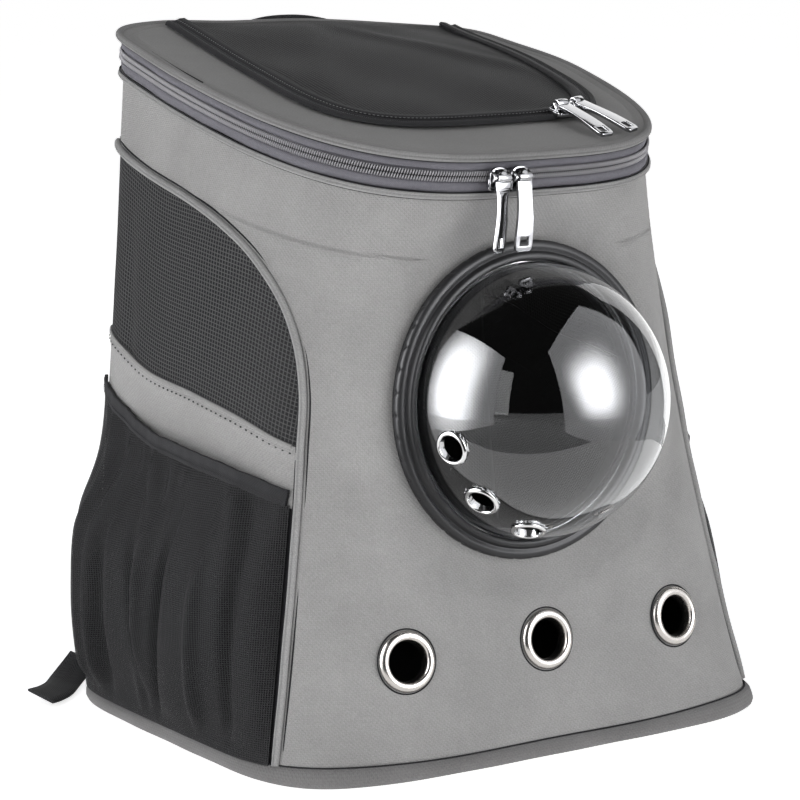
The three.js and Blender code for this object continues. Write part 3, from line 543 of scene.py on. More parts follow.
def metal(name, c, rough, brushed=0.0):
    m = Mat(name, c, rough, Metallic=1.0)
    b, n = m.noise(60, 4.0), m.noise(2600, 2.0)
    m.rough(m.math("MULTIPLY_ADD", b, 0.14, max(0.02, rough - 0.07)))
    m.color(m.mix(b, scaled(c, 0.9), c))
    m.bump(n, 0.00004, 0.08 + brushed)
    return m.m


GREY = (0.305, 0.302, 0.300)
M_FRONT = cloth("front_cloth_mat", GREY)
# the sides' cloth is the same grey cloth made lighter: painted light
M_SIDE_LIT = cloth("side_cloth_lit_mat", (0.335, 0.332, 0.330))
# the lid's cloth is the same grey cloth made a little darker: painted shade on the top
M_LID_SHADED = cloth("lid_cloth_shaded_mat", (0.29, 0.288, 0.286), mottled=0.1)
# the base cloth is the same grey cloth made darker: painted shade on the base and its bound edge
M_BASE_SHADED = cloth("base_cloth_shaded_mat", (0.175, 0.172, 0.172))
M_LINING = cloth("lining_mat", (0.012, 0.012, 0.013), sheen=0.0)
M_BACK = cloth("back_cloth_mat", (0.018, 0.018, 0.020), pitch=0.0016, bump=0.7, sheen=0.02)
# the piping is the grey cloth in two copies: lighter as painted light on the seam and hem cords, darker as painted
# shade on the lid cord
M_PIPE_LIT = cloth("piping_lit_mat", (0.32, 0.318, 0.318), pitch=0.0008)
M_PIPE_SHADED = cloth("lid_piping_shaded_mat", (0.24, 0.238, 0.238), pitch=0.0008)
# near-black cords laid beside the piping, along the hem, lid edge and base roll, and round the eyelets: painted shade
# of the creases there
M_SHADE_CORD = cloth("shade_cord_mat", (0.018, 0.018, 0.02), pitch=0.0007, sheen=0.0)
M_NET = net("window_net_mat", (0.0025, 0.0025, 0.003), (0.064, 0.064, 0.064), 0.0027, 0.24, rows=0.88)
# the net's inner face: a darker copy of the window net, painted shade inside the bag
M_NET_IN_SHADED = net("window_net_in_shaded_mat", (0.003, 0.003, 0.003), (0.02, 0.02, 0.02), 0.0025, 0.36)
M_LIDNET = net("lid_net_mat", (0.007, 0.007, 0.0075), (0.042, 0.042, 0.043), 0.0022, 0.5, bump=1.0, slope=0.55)
M_POCKET = net("pocket_net_mat", (0.003, 0.003, 0.0035), (0.021, 0.021, 0.022), 0.0015, 0.5, bump=0.9, alpha_hole=0.45, rows=0.85)
M_TAPE = webbing("zip_tape_mat", (0.135, 0.132, 0.150), 0.0011)
M_COIL = Mat("zip_coil_mat", (0.30, 0.295, 0.31), 0.42, Specular_IOR_Level=0.3).m
M_BTAPE = webbing("black_tape_mat", (0.013, 0.013, 0.014), 0.0013)
M_BCOIL = Mat("black_coil_mat", (0.024, 0.024, 0.026), 0.4, Specular_IOR_Level=0.3).m
M_WEB = webbing("webbing_mat", (0.014, 0.014, 0.015))
M_PAD = cloth("strap_pad_mat", (0.018, 0.018, 0.020), pitch=0.0018, bump=0.8, sheen=0.02)
M_THREAD = Mat("grey_thread_mat", (0.25, 0.25, 0.25), 0.7, Specular_IOR_Level=0.1).m
M_THREAD_LIGHT = Mat("light_thread_mat", (0.55, 0.55, 0.55), 0.7, Specular_IOR_Level=0.1).m
M_THREAD_DARK = Mat("dark_thread_mat", (0.03, 0.03, 0.032), 0.7, Specular_IOR_Level=0.1).m
M_PLASTIC = plastic("ring_plastic_mat", (0.011, 0.011, 0.012), 0.4)
M_COLLAR = plastic("collar_plastic_mat", (0.014, 0.014, 0.015), 0.42)
M_NICKEL = metal("nickel_mat", (0.50, 0.475, 0.45), 0.24)
M_RIM = metal("vent_rim_mat", (0.66, 0.66, 0.66), 0.16)
M_CHROME = metal("pull_metal_mat", (0.38, 0.38, 0.39), 0.13)


def clear():
    m = Mat("dome_clear_mat", (0.93, 0.94, 0.95), 0.012, IOR=1.56, Transmission_Weight=1.0, Specular_IOR_Level=0.75)
    b = m.noise(9, 2.0)
    m.bump(b, 0.0012, 0.10)
    return m.m


M_CLEAR = clear()

# ------------------------------------------------------------------ camera
psi, el = math.radians(33.9157), math.radians(10.0872)
fwd = np.array([math.sin(psi) * math.cos(el), math.cos(psi) * math.cos(el), -math.sin(el)])
eye = np.array([7.168, 0, 185.305]) - 2024.507 * fwd
cam = bpy.data.cameras.new("cam")
cam.sensor_width, cam.lens, cam.clip_start, cam.clip_end = 36.0, 3203.228 / 800 * 36.0, 0.05, 60
camo = bpy.data.objects.new("cam", cam)
bpy.context.scene.collection.objects.link(camo)
right = Vector((math.cos(psi), -math.sin(psi), 0))
up = right.cross(Vector(fwd))
camo.matrix_world = Matrix.Translation(Vector(world(eye))) @ Matrix((right, up, -Vector(fwd))).transposed().to_4x4()
bpy.context.scene.camera = camo

# ------------------------------------------------------------------ walls
D_AXIS = np.array([0, -math.cos(DOME["tilt"]), math.sin(DOME["tilt"])])
D_C = np.array([DOME["x"], DOME["y"], DOME["z"]])
D_UP = np.array([0, math.sin(DOME["tilt"]), math.cos(DOME["tilt"])])


def front_limit(t, side):
    """Place round the bag where the front cloth ends at the seam, at each height t."""
    lo, hi = np.full(np.shape(t), 10.0), np.full(np.shape(t), 29.0)   # back corner .. front, left side
    grid = np.linspace(29.0, 10.0, 400)
    out = []
    for tt in np.ravel(t):
        kk = grid if side < 0 else 20 - grid
        p = bag(kk, tt)
        inside = (p[:, 2] > seam_z(p[:, 1]) + 0.4) & (p[:, 1] < BACK_Y - 0.2)
        i = int(np.argmin(inside)) if not inside.all() else len(grid) - 1
        a, b = grid[max(0, i - 1)], grid[i]
        for _ in range(22):
            c = (a + b) / 2
            q = bag(c if side < 0 else 20 - c, tt)
            ok = (q[2] > seam_z(q[1]) + 0.4) and q[1] < BACK_Y - 0.2
            a, b = (c, b) if ok else (a, c)
        out.append(a)
    out = np.array(out)
    return out if side < 0 else 40 + 20 - out


def eye_place(x):
    ks = np.linspace(20.5, 39.5, 1500)
    best = None
    for t0 in (EYE_Z / FRONT_LID_Z,):
        t = np.full(ks.shape, t0)
        for _ in range(5):
            t = t * EYE_Z / bag(ks, t)[:, 2]
        p = bag(ks, t)
        i = int(np.argmin(np.abs(p[:, 0] - x)))
        best = (p[i], normal(ks[i], t[i]))
    return best


EYES = [eye_place(x) for x in EYE_X]


def wrinkle(p):
    """Shallow dents and pulls of the front cloth, in mm outwards."""
    x, y, z = p[..., 0], p[..., 1], p[..., 2]
    d = 0.55 * np.sin(x / 31 + z / 57 + 1.3) * np.sin(z / 43 - x / 120)
    d += 0.35 * np.sin(x / 13.0 + 2.0 * np.sin(z / 37.0)) * smooth((z - 250) / 60) * smooth((350 - z) / 40)
    # pulls below the ring's right side and down the corner
    for cx, cz, ang, wid, ln, amp in ((78, 112, 62, 6, 46, 1.0), (52, 96, 70, 5, 38, -0.7), (112, 120, 74, 7, 60, 0.9), (-70, 96, 100, 7, 42, 0.8),
                                      (-86, 300, 96, 6, 34, 0.7), (64, 305, 82, 6, 30, -0.8), (20, 100, 85, 5, 26, 0.6)):
        a = math.radians(ang)
        u = (x - cx) * math.cos(a) + (z - cz) * math.sin(a)
        v = -(x - cx) * math.sin(a) + (z - cz) * math.cos(a)
        d = d + amp * np.exp(-(v / wid) ** 2 - (u / ln) ** 2) * (y < 0)
    rho = np.hypot(x - DOME["x"], z - DOME["z"])
    calm = smooth((rho - 96) / 26)
    for p0, _ in EYES:
        calm = calm * smooth((np.hypot(x - p0[0], z - p0[2]) - 19) / 14)
    return d * calm


def front_cloth():
    # rows follow the bag's height, columns run from the left seam round the front to the right one
    t = np.concatenate([np.linspace(0.012, 0.86, 122), np.linspace(0.866, 0.9345, 16)])
    kl, kr = front_limit(t, -1), front_limit(t, 1)
    n, rows, U = 262, [], []
    for tt, a, b in zip(t, kl, kr):
        ks = np.linspace(a, b, 900)
        p = bag(ks, tt)
        L = np.concatenate([[0], np.cumsum(np.linalg.norm(np.diff(p, axis=0), axis=1))])
        s = np.linspace(0, L[-1], n)
        kk = np.interp(s, L, ks)
        rows.append((kk, s - np.interp(30.0, ks, L)))
    K = np.array([r[0] for r in rows])
    T = np.repeat(t[:, None], n, 1)
    # the top row follows the hem, parallel to the lid
    P = bag(K, T)
    top = P[..., 2] > top_z(P[..., 1]) - DROP["body"]
    P[..., 2] = np.where(top, top_z(P[..., 1]) - DROP["body"], P[..., 2])
    N = normal(K, T)
    edge = np.minimum(np.arange(n), np.arange(n)[::-1])[None] * np.ones((len(t), 1))
    dip = -0.9 * np.exp(-edge / 1.2) + 0.5 * np.exp(-((edge - 4) / 2.0) ** 2)
    lowdip = -0.7 * np.exp(-(P[..., 2] - 4) / 2.2) + 0.5 * np.exp(-(((P[..., 2] - 13) / 5) ** 2))
    P = P + N * (wrinkle(P) + dip + lowdip)[..., None]
    uv = np.stack([np.array([r[1] for r in rows]), P[..., 2]], -1)
    rho = np.linalg.norm(np.cross(P - D_C, D_AXIS), axis=-1)
    keep = ~((rho < 86.6) & (P[..., 1] < 0))
    for p0, n0 in EYES:
        keep &= ~((np.linalg.norm(np.cross(P - p0, n0), axis=-1) < 13.9) & (np.abs((P - p0) @ n0) < 30))
    o = shell("front_cloth", P, uv, 2.3, [M_FRONT, M_LINING, M_FRONT], keep=keep.ravel(), rep=("front_panel",), slot="front_cloth")
    return P


front_P = front_cloth()


def side_grid(side, lo, hi, ny, nz, off=0.0, y1=BACK_Y - 0.2, pad=0.4):
    """Side view patch between two lines, from the front seam to the back one."""
    v = np.linspace(0, 1, nz)
    y0 = np.full(nz, -120.0)
    for _ in range(40):
        z = lo(y0) + (hi(y0) - lo(y0)) * v
        y0 = 0.5 * y0 + 0.5 * (seam_y(z) + pad)
    s = np.linspace(0, 1, ny)
    s = 0.5 * s + 0.5 * (0.5 - 0.5 * np.cos(np.pi * s))
    Y = y0[:, None] + (y1 - y0[:, None]) * s[None]
    Z = lo(Y) + (hi(Y) - lo(Y)) * v[:, None]
    return Y, Z, s, v


for side, tag in ((-1, "left"), (1, "right")):
    # net window: columns by y, from the band up to the seam line
    ny, nz = 150, 60
    y_start = -116.9
    s = np.linspace(0, 1, ny) ** 1.35
    Y = y_start + (BACK_Y - 0.2 - y_start) * s
    lo_, hi_ = top_of(Y) + 0.2, np.maximum(seam_z(Y) - 0.3, top_of(Y) + 0.5)
    v = np.linspace(0, 1, nz)
    Yg = np.repeat(Y[None], nz, 0)
    Zg = lo_[None] + (hi_ - lo_)[None] * v[:, None]
    P, N = side_point(Yg, Zg, side, -0.5)
    inner = np.sin(np.pi * v)[:, None] * np.sin(np.pi * np.clip(s, 0, 1))[None]
    fold = -1.6 * np.exp(-(((Yg - 62 - 0.10 * (Zg - 260)) / 7.0) ** 2)) * smooth((330 - Zg) / 60)
    fold += 0.9 * np.sin(Yg / 17 + Zg / 31) * inner + 0.5 * np.sin(Zg / 11 + Yg / 29) * inner
    P = P + N * fold[..., None]
    arc = np.concatenate([[0], np.cumsum(np.linalg.norm(np.diff(P[0], axis=0), axis=1))])
    uv = np.stack([np.repeat(arc[None], nz, 0), Zg - lo_[None]], -1)
    o = shell(f"window_net_{tag}", P, uv, 1.4, [M_NET, M_NET_IN_SHADED], out_sign=1 if side > 0 else -1, rep=(f"side_window_{tag}",), slot="window_net")

    # cloth band under the window, in the grey cloth made lighter as painted light
    Y, Z, s, v = side_grid(side, foot_of, top_of, 150, 22)
    P, N = side_point(Y, Z, side, 0.0)
    d = 0.9 * np.exp(-((v - 0.86) / 0.07) ** 2)[:, None] - 0.5 * np.exp(-((v - 0.93) / 0.02) ** 2)[:, None] + 0.5 * np.sin(Y / 23)
    d = d - 0.8 * np.exp(-(s / 0.012))[None]
    P = P + N * d[..., None]
    arc = np.concatenate([[0], np.cumsum(np.linalg.norm(np.diff(P[0], axis=0), axis=1))])
    uv = np.stack([np.repeat(arc[None], len(v), 0), (Z - foot_of(Y))], -1)
    o = shell(f"side_band_cloth_{tag}", P, uv, 2.3, [M_SIDE_LIT, M_LINING], out_sign=1 if side > 0 else -1, rep=(f"side_band_{tag}",), slot="side_cloth")
    yy = np.linspace(-112, 96, 160)
    zz = top_of(yy) - 4.2
    p, n = side_point(yy, zz, side, 0.9)
    stitches(f"band_stitch_{tag}", p, n, [M_THREAD_DARK], pitch=5.0, length=1.7, w=0.55, h=0.3)
    # folded edge of the band over the net
    zz = top_of(yy) - 0.4
    p, n = side_point(yy, zz, side, 0.35)
    sweep(f"band_edge_{tag}", p, circle(0.9, 8, 1.2), [M_SIDE_LIT], hint=n)

    # cloth behind the pocket, in the near-black back cloth as painted shade: it stands for the grey wall in shadow
    # behind the pocket net
    Y, Z, s, v = side_grid(side, lambda y: 0 * np.asarray(y) + 4.2, lambda y: foot_of(y) - 0.3, 110, 50)
    P, N = side_point(Y, Z, side, 0.0)
    arc = np.concatenate([[0], np.cumsum(np.linalg.norm(np.diff(P[0], axis=0), axis=1))])
    uv = np.stack([np.repeat(arc[None], len(v), 0), Z], -1)
    o = shell(f"side_lower_cloth_{tag}", P, uv, 2.3, [M_BACK, M_LINING], out_sign=1 if side > 0 else -1, rep=(f"side_lower_{tag}",), slot="side_cloth")

    # piping on the seam, with a near-black cord on its front side and a thinner one on its other side, as painted shade
    # of the creases beside it
    line = resample(SEAM_L[(SEAM_L[:, 1] > 10) & (SEAM_L[:, 0] < BACK_Y - 2)], step=2.0)
    p, n = side_point(line[:, 0], line[:, 1], side, 1.7)
    wob = 0.25 * np.sin(np.arange(len(p)) * 0.23)
    sweep(f"seam_piping_cord_{tag}", p + n * wob[:, None], circle(2.35, 14), [M_PIPE_LIT], hint=n, rep=(f"seam_piping_{tag}",), slot="piping")
    g = np.gradient(line, axis=0)
    g = g / np.linalg.norm(g, axis=1, keepdims=True)
    for dist, r, nm in ((3.3, 0.62, "shade_line"), (-2.6, 0.5, "shade_line_in")):
        l2 = line + np.stack([-g[:, 1], g[:, 0]], -1) * dist
        l2 = l2[(l2[:, 1] > 9) & (l2[:, 0] < BACK_Y - 1)]
        p, n = side_point(l2[:, 0], l2[:, 1], side, 0.1)
        sweep(f"seam_{nm}_{tag}", p, circle(r, 8), [M_SHADE_CORD], hint=n)

for side, tag in ((-1, "left"), (1, "right")):
    zz = np.linspace(5.0, 366.0, 150)
    yy = np.full(150, BACK_Y)
    k_, t_k = side_k(yy, zz, side)
    n_b = normal(k_, t_k)
    sweep(f"back_seam_{tag}", bag(k_, t_k) - n_b * 1.2, circle(1.9, 10, 2.6), [M_BTAPE], hint=n_b, slot="black_tape")

# ------------------------------------------------------------------ back panel: padded, with sewn channels
t = np.concatenate([[0.0113], np.linspace(0.02, 0.9345, 92)])
ks = np.linspace(0, 20, 1600)
rows = []
for tt in t:
    p = bag(ks, tt)
    m_ = p[:, 1] > BACK_Y + 0.2
    kk = ks[m_]
    L = np.concatenate([[0], np.cumsum(np.linalg.norm(np.diff(p[m_], axis=0), axis=1))])
    rows.append(np.interp(np.linspace(0, L[-1], 104), L, kk))
K, T = np.array(rows), np.repeat(t[:, None], 104, 1)
P = bag(K, T)
P[..., 2] = np.minimum(P[..., 2], top_z(P[..., 1]) - DROP["body"])
N = normal(K, T)
x, z = P[..., 0], P[..., 2]
pad = 2.6 * smooth((118 - np.abs(x)) / 10) * smooth((z - 22) / 12) * smooth((352 - z) / 12)
chan = np.zeros_like(x)
for xc in (-60, 0, 60):
    chan = np.maximum(chan, np.exp(-(((x - xc) / 3.2) ** 2)))
for zc in (95, 185, 275):
    chan = np.maximum(chan, np.exp(-(((z - zc) / 3.2) ** 2)))
pad = pad * (1 - 0.75 * chan) + 0.2 * np.sin(x / 9) * np.sin(z / 13)
P = P + N * pad[..., None]
uv = np.stack([x, z], -1)
o = shell("back_cloth", P, uv, 3.0, [M_BACK, M_LINING], rep=("back_panel",), slot="back_cloth")

# ------------------------------------------------------------------ base
k_fine = np.linspace(0, 40, 2400)[:-1]


def ring_loop(fn, step=2.2):
    return resample(fn(k_fine), step=step, closed=True)


base_ring = ring_loop(lambda k: level_ring(k, 0.0, -1.5), 3.0)
c = base_ring.mean(0)
rr = np.linspace(1, 0, 8)[:, None, None]
P = c + (base_ring - c)[None] * rr
top = P.copy()
P[..., 2], top[..., 2] = 0.0, 3.4
V = np.concatenate([P.reshape(-1, 3), top.reshape(-1, 3)])
m_, n_ = P.shape[:2]
F = grid_faces(m_, n_, True)
j = np.arange(n_)
K0 = m_ * n_
rim = np.stack([j, (j + 1) % n_, (j + 1) % n_ + K0, j + K0], -1)
F = np.concatenate([F, F[:, ::-1] + K0, rim[:, ::-1]])
make("base_sheet", V, F, [M_BASE_SHADED, M_LINING], uv=V[:, :2], mat_of=np.concatenate([np.zeros((m_ - 1) * n_, int), np.ones((m_ - 1) * n_, int), np.zeros(n_, int)]),
     rep=("base_panel",), slot="base_cloth", soft=False)
# the bound edge: a soft roll of cloth under the walls, uneven along the sides
kk = k_fine
prof = [(0.0, -1.2), (0.0, 0.9), (0.8, 2.0), (2.6, 2.9), (5.2, 3.0), (7.6, 2.6), (9.3, 1.6), (9.9, 0.5), (8.0, 0.35), (4.0, 0.3)]
loops = []
L_ring = resample(np.column_stack([kk, level_ring(kk, 4.0, 0.0)])[:, 1:], step=2.4, closed=True)
for z, off in prof:
    q = level_ring(kk, z, off)
    base = level_ring(kk, 4.0, 0.0)
    L = np.concatenate([[0], np.cumsum(np.linalg.norm(np.diff(np.vstack([base, base[:1]]), axis=0), axis=1))])
    s = np.linspace(0, L[-1], 640)[:-1]
    q = np.vstack([q, q[:1]])
    q = np.stack([np.interp(s, L, q[:, i]) for i in range(3)], -1)
    nrm = unit(np.stack([q[:, 0], q[:, 1] + 30, 0 * q[:, 0]], -1))
    soft_edge = (0.35 * np.sin(s / 9.0) + 0.5 * np.sin(s / 41.0)) * (off > 0.6)
    q = q + nrm * soft_edge[:, None] * 0.6
    if z > 6:
        q[:, 2] += 0.9 * np.sin(s / 52.0) + 0.5 * np.sin(s / 23.0)
    loops.append(q)
P = np.array(loops)
P[0, :, 2], P[1, :, 2] = 0.0, 0.0
m_, n_ = P.shape[:2]
i, j = np.meshgrid(np.arange(m_), np.arange(n_), indexing="ij")
F = np.stack([i * n_ + j, i * n_ + (j + 1) % n_, ((i + 1) % m_) * n_ + (j + 1) % n_, ((i + 1) % m_) * n_ + j], -1).reshape(-1, 4)
s = np.concatenate([[0], np.cumsum(np.linalg.norm(np.diff(P[4], axis=0), axis=1))])
uv = np.stack(np.broadcast_arrays(s[None], np.arange(m_)[:, None] * 2.0), -1).reshape(-1, 2)
make("base_roll", P.reshape(-1, 3), F, [M_BASE_SHADED], uv=uv, rep=("base_binding",), slot="base_cloth", soft=False)
seam_loop = P[7] + unit(np.stack([P[7][:, 0], P[7][:, 1] + 30, 0 * P[7][:, 0]], -1)) * 0.3
# a near-black cord round the roll's foot: painted contact shadow along the floor line
sweep("base_shade_line", seam_loop[::2], circle(0.55, 8), [M_SHADE_CORD], hint=np.array([0, 0, 1.0]), closed=True, soft=False)

# ------------------------------------------------------------------ hem, zipped band, lid edge
def loop_grid(rows, n=620, wob=None):
    out = []
    base = lid_ring(k_fine, 12.0, 0.0)
    L = np.concatenate([[0], np.cumsum(np.linalg.norm(np.diff(np.vstack([base, base[:1]]), axis=0), axis=1))])
    s = np.linspace(0, L[-1], n + 1)[:-1]
    for drop, off in rows:
        q = lid_ring(k_fine, drop, off)
        q = np.vstack([q, q[:1]])
        out.append(np.stack([np.interp(s, L, q[:, i]) for i in range(3)], -1))
    return np.array(out), s


tape_rows = [(22.0, 0.9), (21.0, 1.5), (18.5, 2.0), (16.9, 2.0), (16.3, 1.3), (16.0, 0.6), (12.6, 0.6), (9.4, 0.6), (9.0, 1.3), (8.2, 2.1), (6.4, 2.2), (4.6, 2.0), (4.0, 1.2), (4.0, -0.6), (12.6, -1.0), (21.8, -0.9)]
P, s = loop_grid(tape_rows)
P = P + (0.35 * np.sin(s / 19.0) + 0.25 * np.sin(s / 7.3))[None, :, None] * unit(P - P.mean((0, 1)))
m_, n_ = P.shape[:2]
i, j = np.meshgrid(np.arange(m_), np.arange(n_), indexing="ij")
F = np.stack([i * n_ + j, i * n_ + (j + 1) % n_, ((i + 1) % m_) * n_ + (j + 1) % n_, ((i + 1) % m_) * n_ + j], -1).reshape(-1, 4)
uv = np.stack(np.broadcast_arrays(s[None], np.array([-r[0] for r in tape_rows])[:, None]), -1).reshape(-1, 2)
make("zip_tape", P.reshape(-1, 3), F, [M_TAPE], uv=uv, rep=("zip_band",), slot="zip_tape")

coil_mid = ring_loop(lambda k: lid_ring(k, 12.6, 1.9), 0.75)
coil_out = unit(ring_loop(lambda k: lid_ring(k, 12.6, 6.0), 0.75)[:len(coil_mid)] - coil_mid) if False else None
perim = resample(lid_ring(k_fine, 12.6, 1.9), n=2, closed=True)


def coil(name, path, nor, mats, pitch, half, w, h, closed, slant=0.25, **kw):
    """Two rows of teeth that mesh along a line."""
    for row, sgn in (("a", 1), ("b", -1)):
        p = resample(np.hstack([path, nor]), step=pitch, closed=closed)
        if sgn < 0:
            p = 0.5 * (p + np.roll(p, -1, 0))
            if not closed:
                p = p[:-1]
        pos, n = p[:, :3], unit(p[:, 3:])
        t_ = unit(np.roll(pos, -1, 0) - np.roll(pos, 1, 0)) if closed else unit(np.gradient(pos, axis=0))
        n = unit(n - t_ * (n * t_).sum(-1, keepdims=True))
        a = np.cross(n, t_)
        d = unit(a + t_ * slant)
        scatter(f"{name}_{row}", pos + a * sgn * half * 0.62, d, np.cross(n, d), n, (half * 0.62, w, h), mats, **kw)


ring_a, _ = loop_grid([(12.6, 2.0), (12.6, 5.0)], n=900)
coil("zip_coil", ring_a[0], unit(ring_a[1] - ring_a[0]), [M_COIL], 1.62, 2.75, 0.50, 1.0, True, slot="zip_tape")
# the core cord between the two rows, near-black as painted shade of the gap where the teeth mesh
sweep("zip_core", ring_a[0][::2] - unit(ring_a[1] - ring_a[0])[::2] * 0.6, circle(0.6, 6, 2.6), [M_SHADE_CORD], hint=unit(ring_a[1] - ring_a[0])[::2], closed=True)

hem, _ = loop_grid([(24.4, 1.3), (24.4, 5.0), (26.6, 0.4), (22.2, 1.3)], n=480)
hn = unit(hem[1] - hem[0])
sweep("hem_cord", hem[0], circle(2.1, 12), [M_PIPE_LIT], hint=hn, closed=True, rep=("hem_piping",), slot="piping")
# near-black cords under and over the hem cord: painted shade of its creases
sweep("hem_shade_line", hem[2] + hn * 0.2, circle(0.5, 6), [M_SHADE_CORD], hint=hn, closed=True)
sweep("hem_top_shade_line", hem[3] + hn * 1.1, circle(0.45, 6), [M_SHADE_CORD], hint=hn, closed=True)
lidp, _ = loop_grid([(1.3, 3.0), (1.3, 6.0), (3.7, 2.8)], n=520)
ln = unit(lidp[1] - lidp[0])
sweep("lid_cord", lidp[0], circle(2.5, 14), [M_PIPE_SHADED], hint=ln, closed=True, rep=("lid_piping",), slot="piping")
# a near-black cord under the lid cord: painted shade of its crease
sweep("lid_low_shade_line", lidp[2] + ln * 0.5, circle(0.5, 6), [M_SHADE_CORD], hint=ln, closed=True)

# ------------------------------------------------------------------ lid: a soft panel, with a shallow groove and a low ridge near its rim, and faint ripples
ring, s = loop_grid([(0.2, 1.0)], n=360)
ring = ring[0]
lc = np.array([0.0, 10.0])
R_ = np.concatenate([np.linspace(0, 0.9, 24), np.linspace(0.91, 1.0, 12)])
XY = lc + (ring[:, :2] - lc)[None] * R_[:, None, None]


def lid_height(x, y, r=None):
    q = 0.28 * np.sin(x / 23 + 0.4) * np.sin(y / 31) + 0.25 * np.sin((x + y) / 17.0)
    return q


edge = np.exp(-((1 - R_) / 0.045) ** 2)[:, None]
groove = np.exp(-(((1 - R_) - 0.035) / 0.012) ** 2)[:, None]
Zl = top_z(XY[..., 1]) - 0.2 + lid_height(XY[..., 0], XY[..., 1]) - 1.1 * groove + 0.3 * np.exp(-(((1 - R_) - 0.09) / 0.03) ** 2)[:, None]
P = np.concatenate([XY, Zl[..., None]], -1)
P = P[::-1]
uv = P[..., :2].copy()
V = np.concatenate([P.reshape(-1, 3), (P - np.array([0, 0, 2.7])).reshape(-1, 3)])
m_, n_ = P.shape[:2]
F = grid_faces(m_, n_, True)
K0 = m_ * n_
j = np.arange(n_)
rim = np.stack([j, (j + 1) % n_, (j + 1) % n_ + K0, j + K0], -1)
nrm = np.cross(P[0, 1] - P[0, 0], P[1, 0] - P[0, 0])
Fo, Fi = (F, F[:, ::-1] + K0) if nrm[2] > 0 else (F[:, ::-1], F + K0)
rim = rim[:, ::-1] if nrm[2] > 0 else rim
o = make("lid_cloth", V, np.concatenate([Fo, Fi, rim]), [M_LID_SHADED, M_LINING], uv=np.concatenate([uv.reshape(-1, 2)] * 2),
         mat_of=np.concatenate([np.zeros(len(Fo), int), np.ones(len(Fi), int), np.zeros(len(rim), int)]), rep=("lid_panel",), slot="front_cloth")
# a near-black cord just inside the lid's left and front edge: painted shade beside the lid cord
lw, _ = loop_grid([(0.0, -2.2)], n=840)
lw = lw[0]
lw[:, 2] = top_z(lw[:, 1]) - 0.9
i0 = int(np.argmin(lw[:, 0] + 1000 * (lw[:, 1] < 60)))
lw = np.roll(lw, -i0, 0)
lw = lw if lw[200, 0] > lw[0, 0] else lw[::-1]
cut = int(np.argmax((lw[:, 0] < 95) & (lw[:, 1] < 0)))
sweep("lid_shade_line", lw[:cut], circle(0.7, 6), [M_SHADE_CORD], hint=np.array([0, 0, 1.0]))

# ------------------------------------------------------------------ net flap on the lid and its zip
FX, FW, FY, FB, FP = 7.3, 107.0, -110.3, 106.0, 3.9
SKEW, FLARE = 0.047, 0.038


def flap_line(inset, n=420, back=None):
    w, d = FW - inset, -(FY + inset)
    pts = [[FX - w, FB if back is None else back], [FX - w, 55]]
    for q in np.linspace(-1, 1, 160):
        a = math.radians(90 + 90 * q)
        cc, ss = -math.cos(a), math.sin(a)
        k0 = (abs(cc) ** FP + ss ** FP) ** (-1 / FP)
        pts.append([FX + w * cc * k0, -d * ss * k0])
    pts += [[FX + w, 55], [FX + w, FB if back is None else back]]
    q = np.array(pts, float)
    q[:, 0] += SKEW * q[:, 1] + np.sign(q[:, 0] - FX) * FLARE * q[:, 1] * np.minimum(1, np.abs(q[:, 0] - FX) / 40)
    return resample(q, n=n)


def on_lid(xy, up):
    xy = np.asarray(xy)
    return np.concatenate([xy, (top_z(xy[..., 1]) + up)[..., None]], -1)


def flap_sweep(name, inset, section, mats, up=0.4, n=420, **kw):
    """Sweeps a cross-section (outward, up) along the flap's U."""
    l = flap_line(inset, n)
    g = unit(np.gradient(l, axis=0))
    outw = np.stack([g[:, 1], -g[:, 0]], -1)
    cxy = np.array([FX, 0.0])
    if ((l - cxy) * outw).sum() < 0:
        outw = -outw
    p = on_lid(l, up)
    hint = np.concatenate([outw, np.zeros((n, 1))], -1)
    t_, o_, w_ = frames(p, hint)
    sgn = 1 if w_[:, 2].mean() > 0 else -1
    sec = np.asarray(section, float) * np.array([1, sgn])
    return sweep(name, p, sec, mats, hint=hint, **kw)


flap_sweep("flap_tape", 4.5, [(-4.4, 0.2), (4.4, 0.2), (5.2, 0.6), (4.6, 2.4), (3.2, 3.4), (1.6, 3.0), (0.9, 2.0), (-0.9, 2.0), (-1.6, 3.2), (-3.2, 3.9), (-4.3, 3.0)], [M_BTAPE], rep=("flap_zip",), slot="black_tape")
l = flap_line(4.5, 600)
coil("flap_coil", on_lid(l, 2.9), np.repeat(unit(np.array([[0, -LID_SLOPE, 1.0]])), len(l), 0), [M_BCOIL], 1.35, 1.35, 0.42, 0.5, False, slot="black_tape")
l = flap_line(8.0, 500)
stitches("flap_stitch_in", on_lid(l, 4.3), np.repeat([[0, 0, 1.0]], len(l), 0), [M_THREAD], pitch=2.6, length=1.5, w=0.22, h=0.16)
l = flap_line(1.2, 500)
stitches("flap_stitch_out", on_lid(l, 2.0), np.repeat([[0, 0, 1.0]], len(l), 0), [M_THREAD_DARK], pitch=3.0, length=2.0, w=0.25, h=0.2)
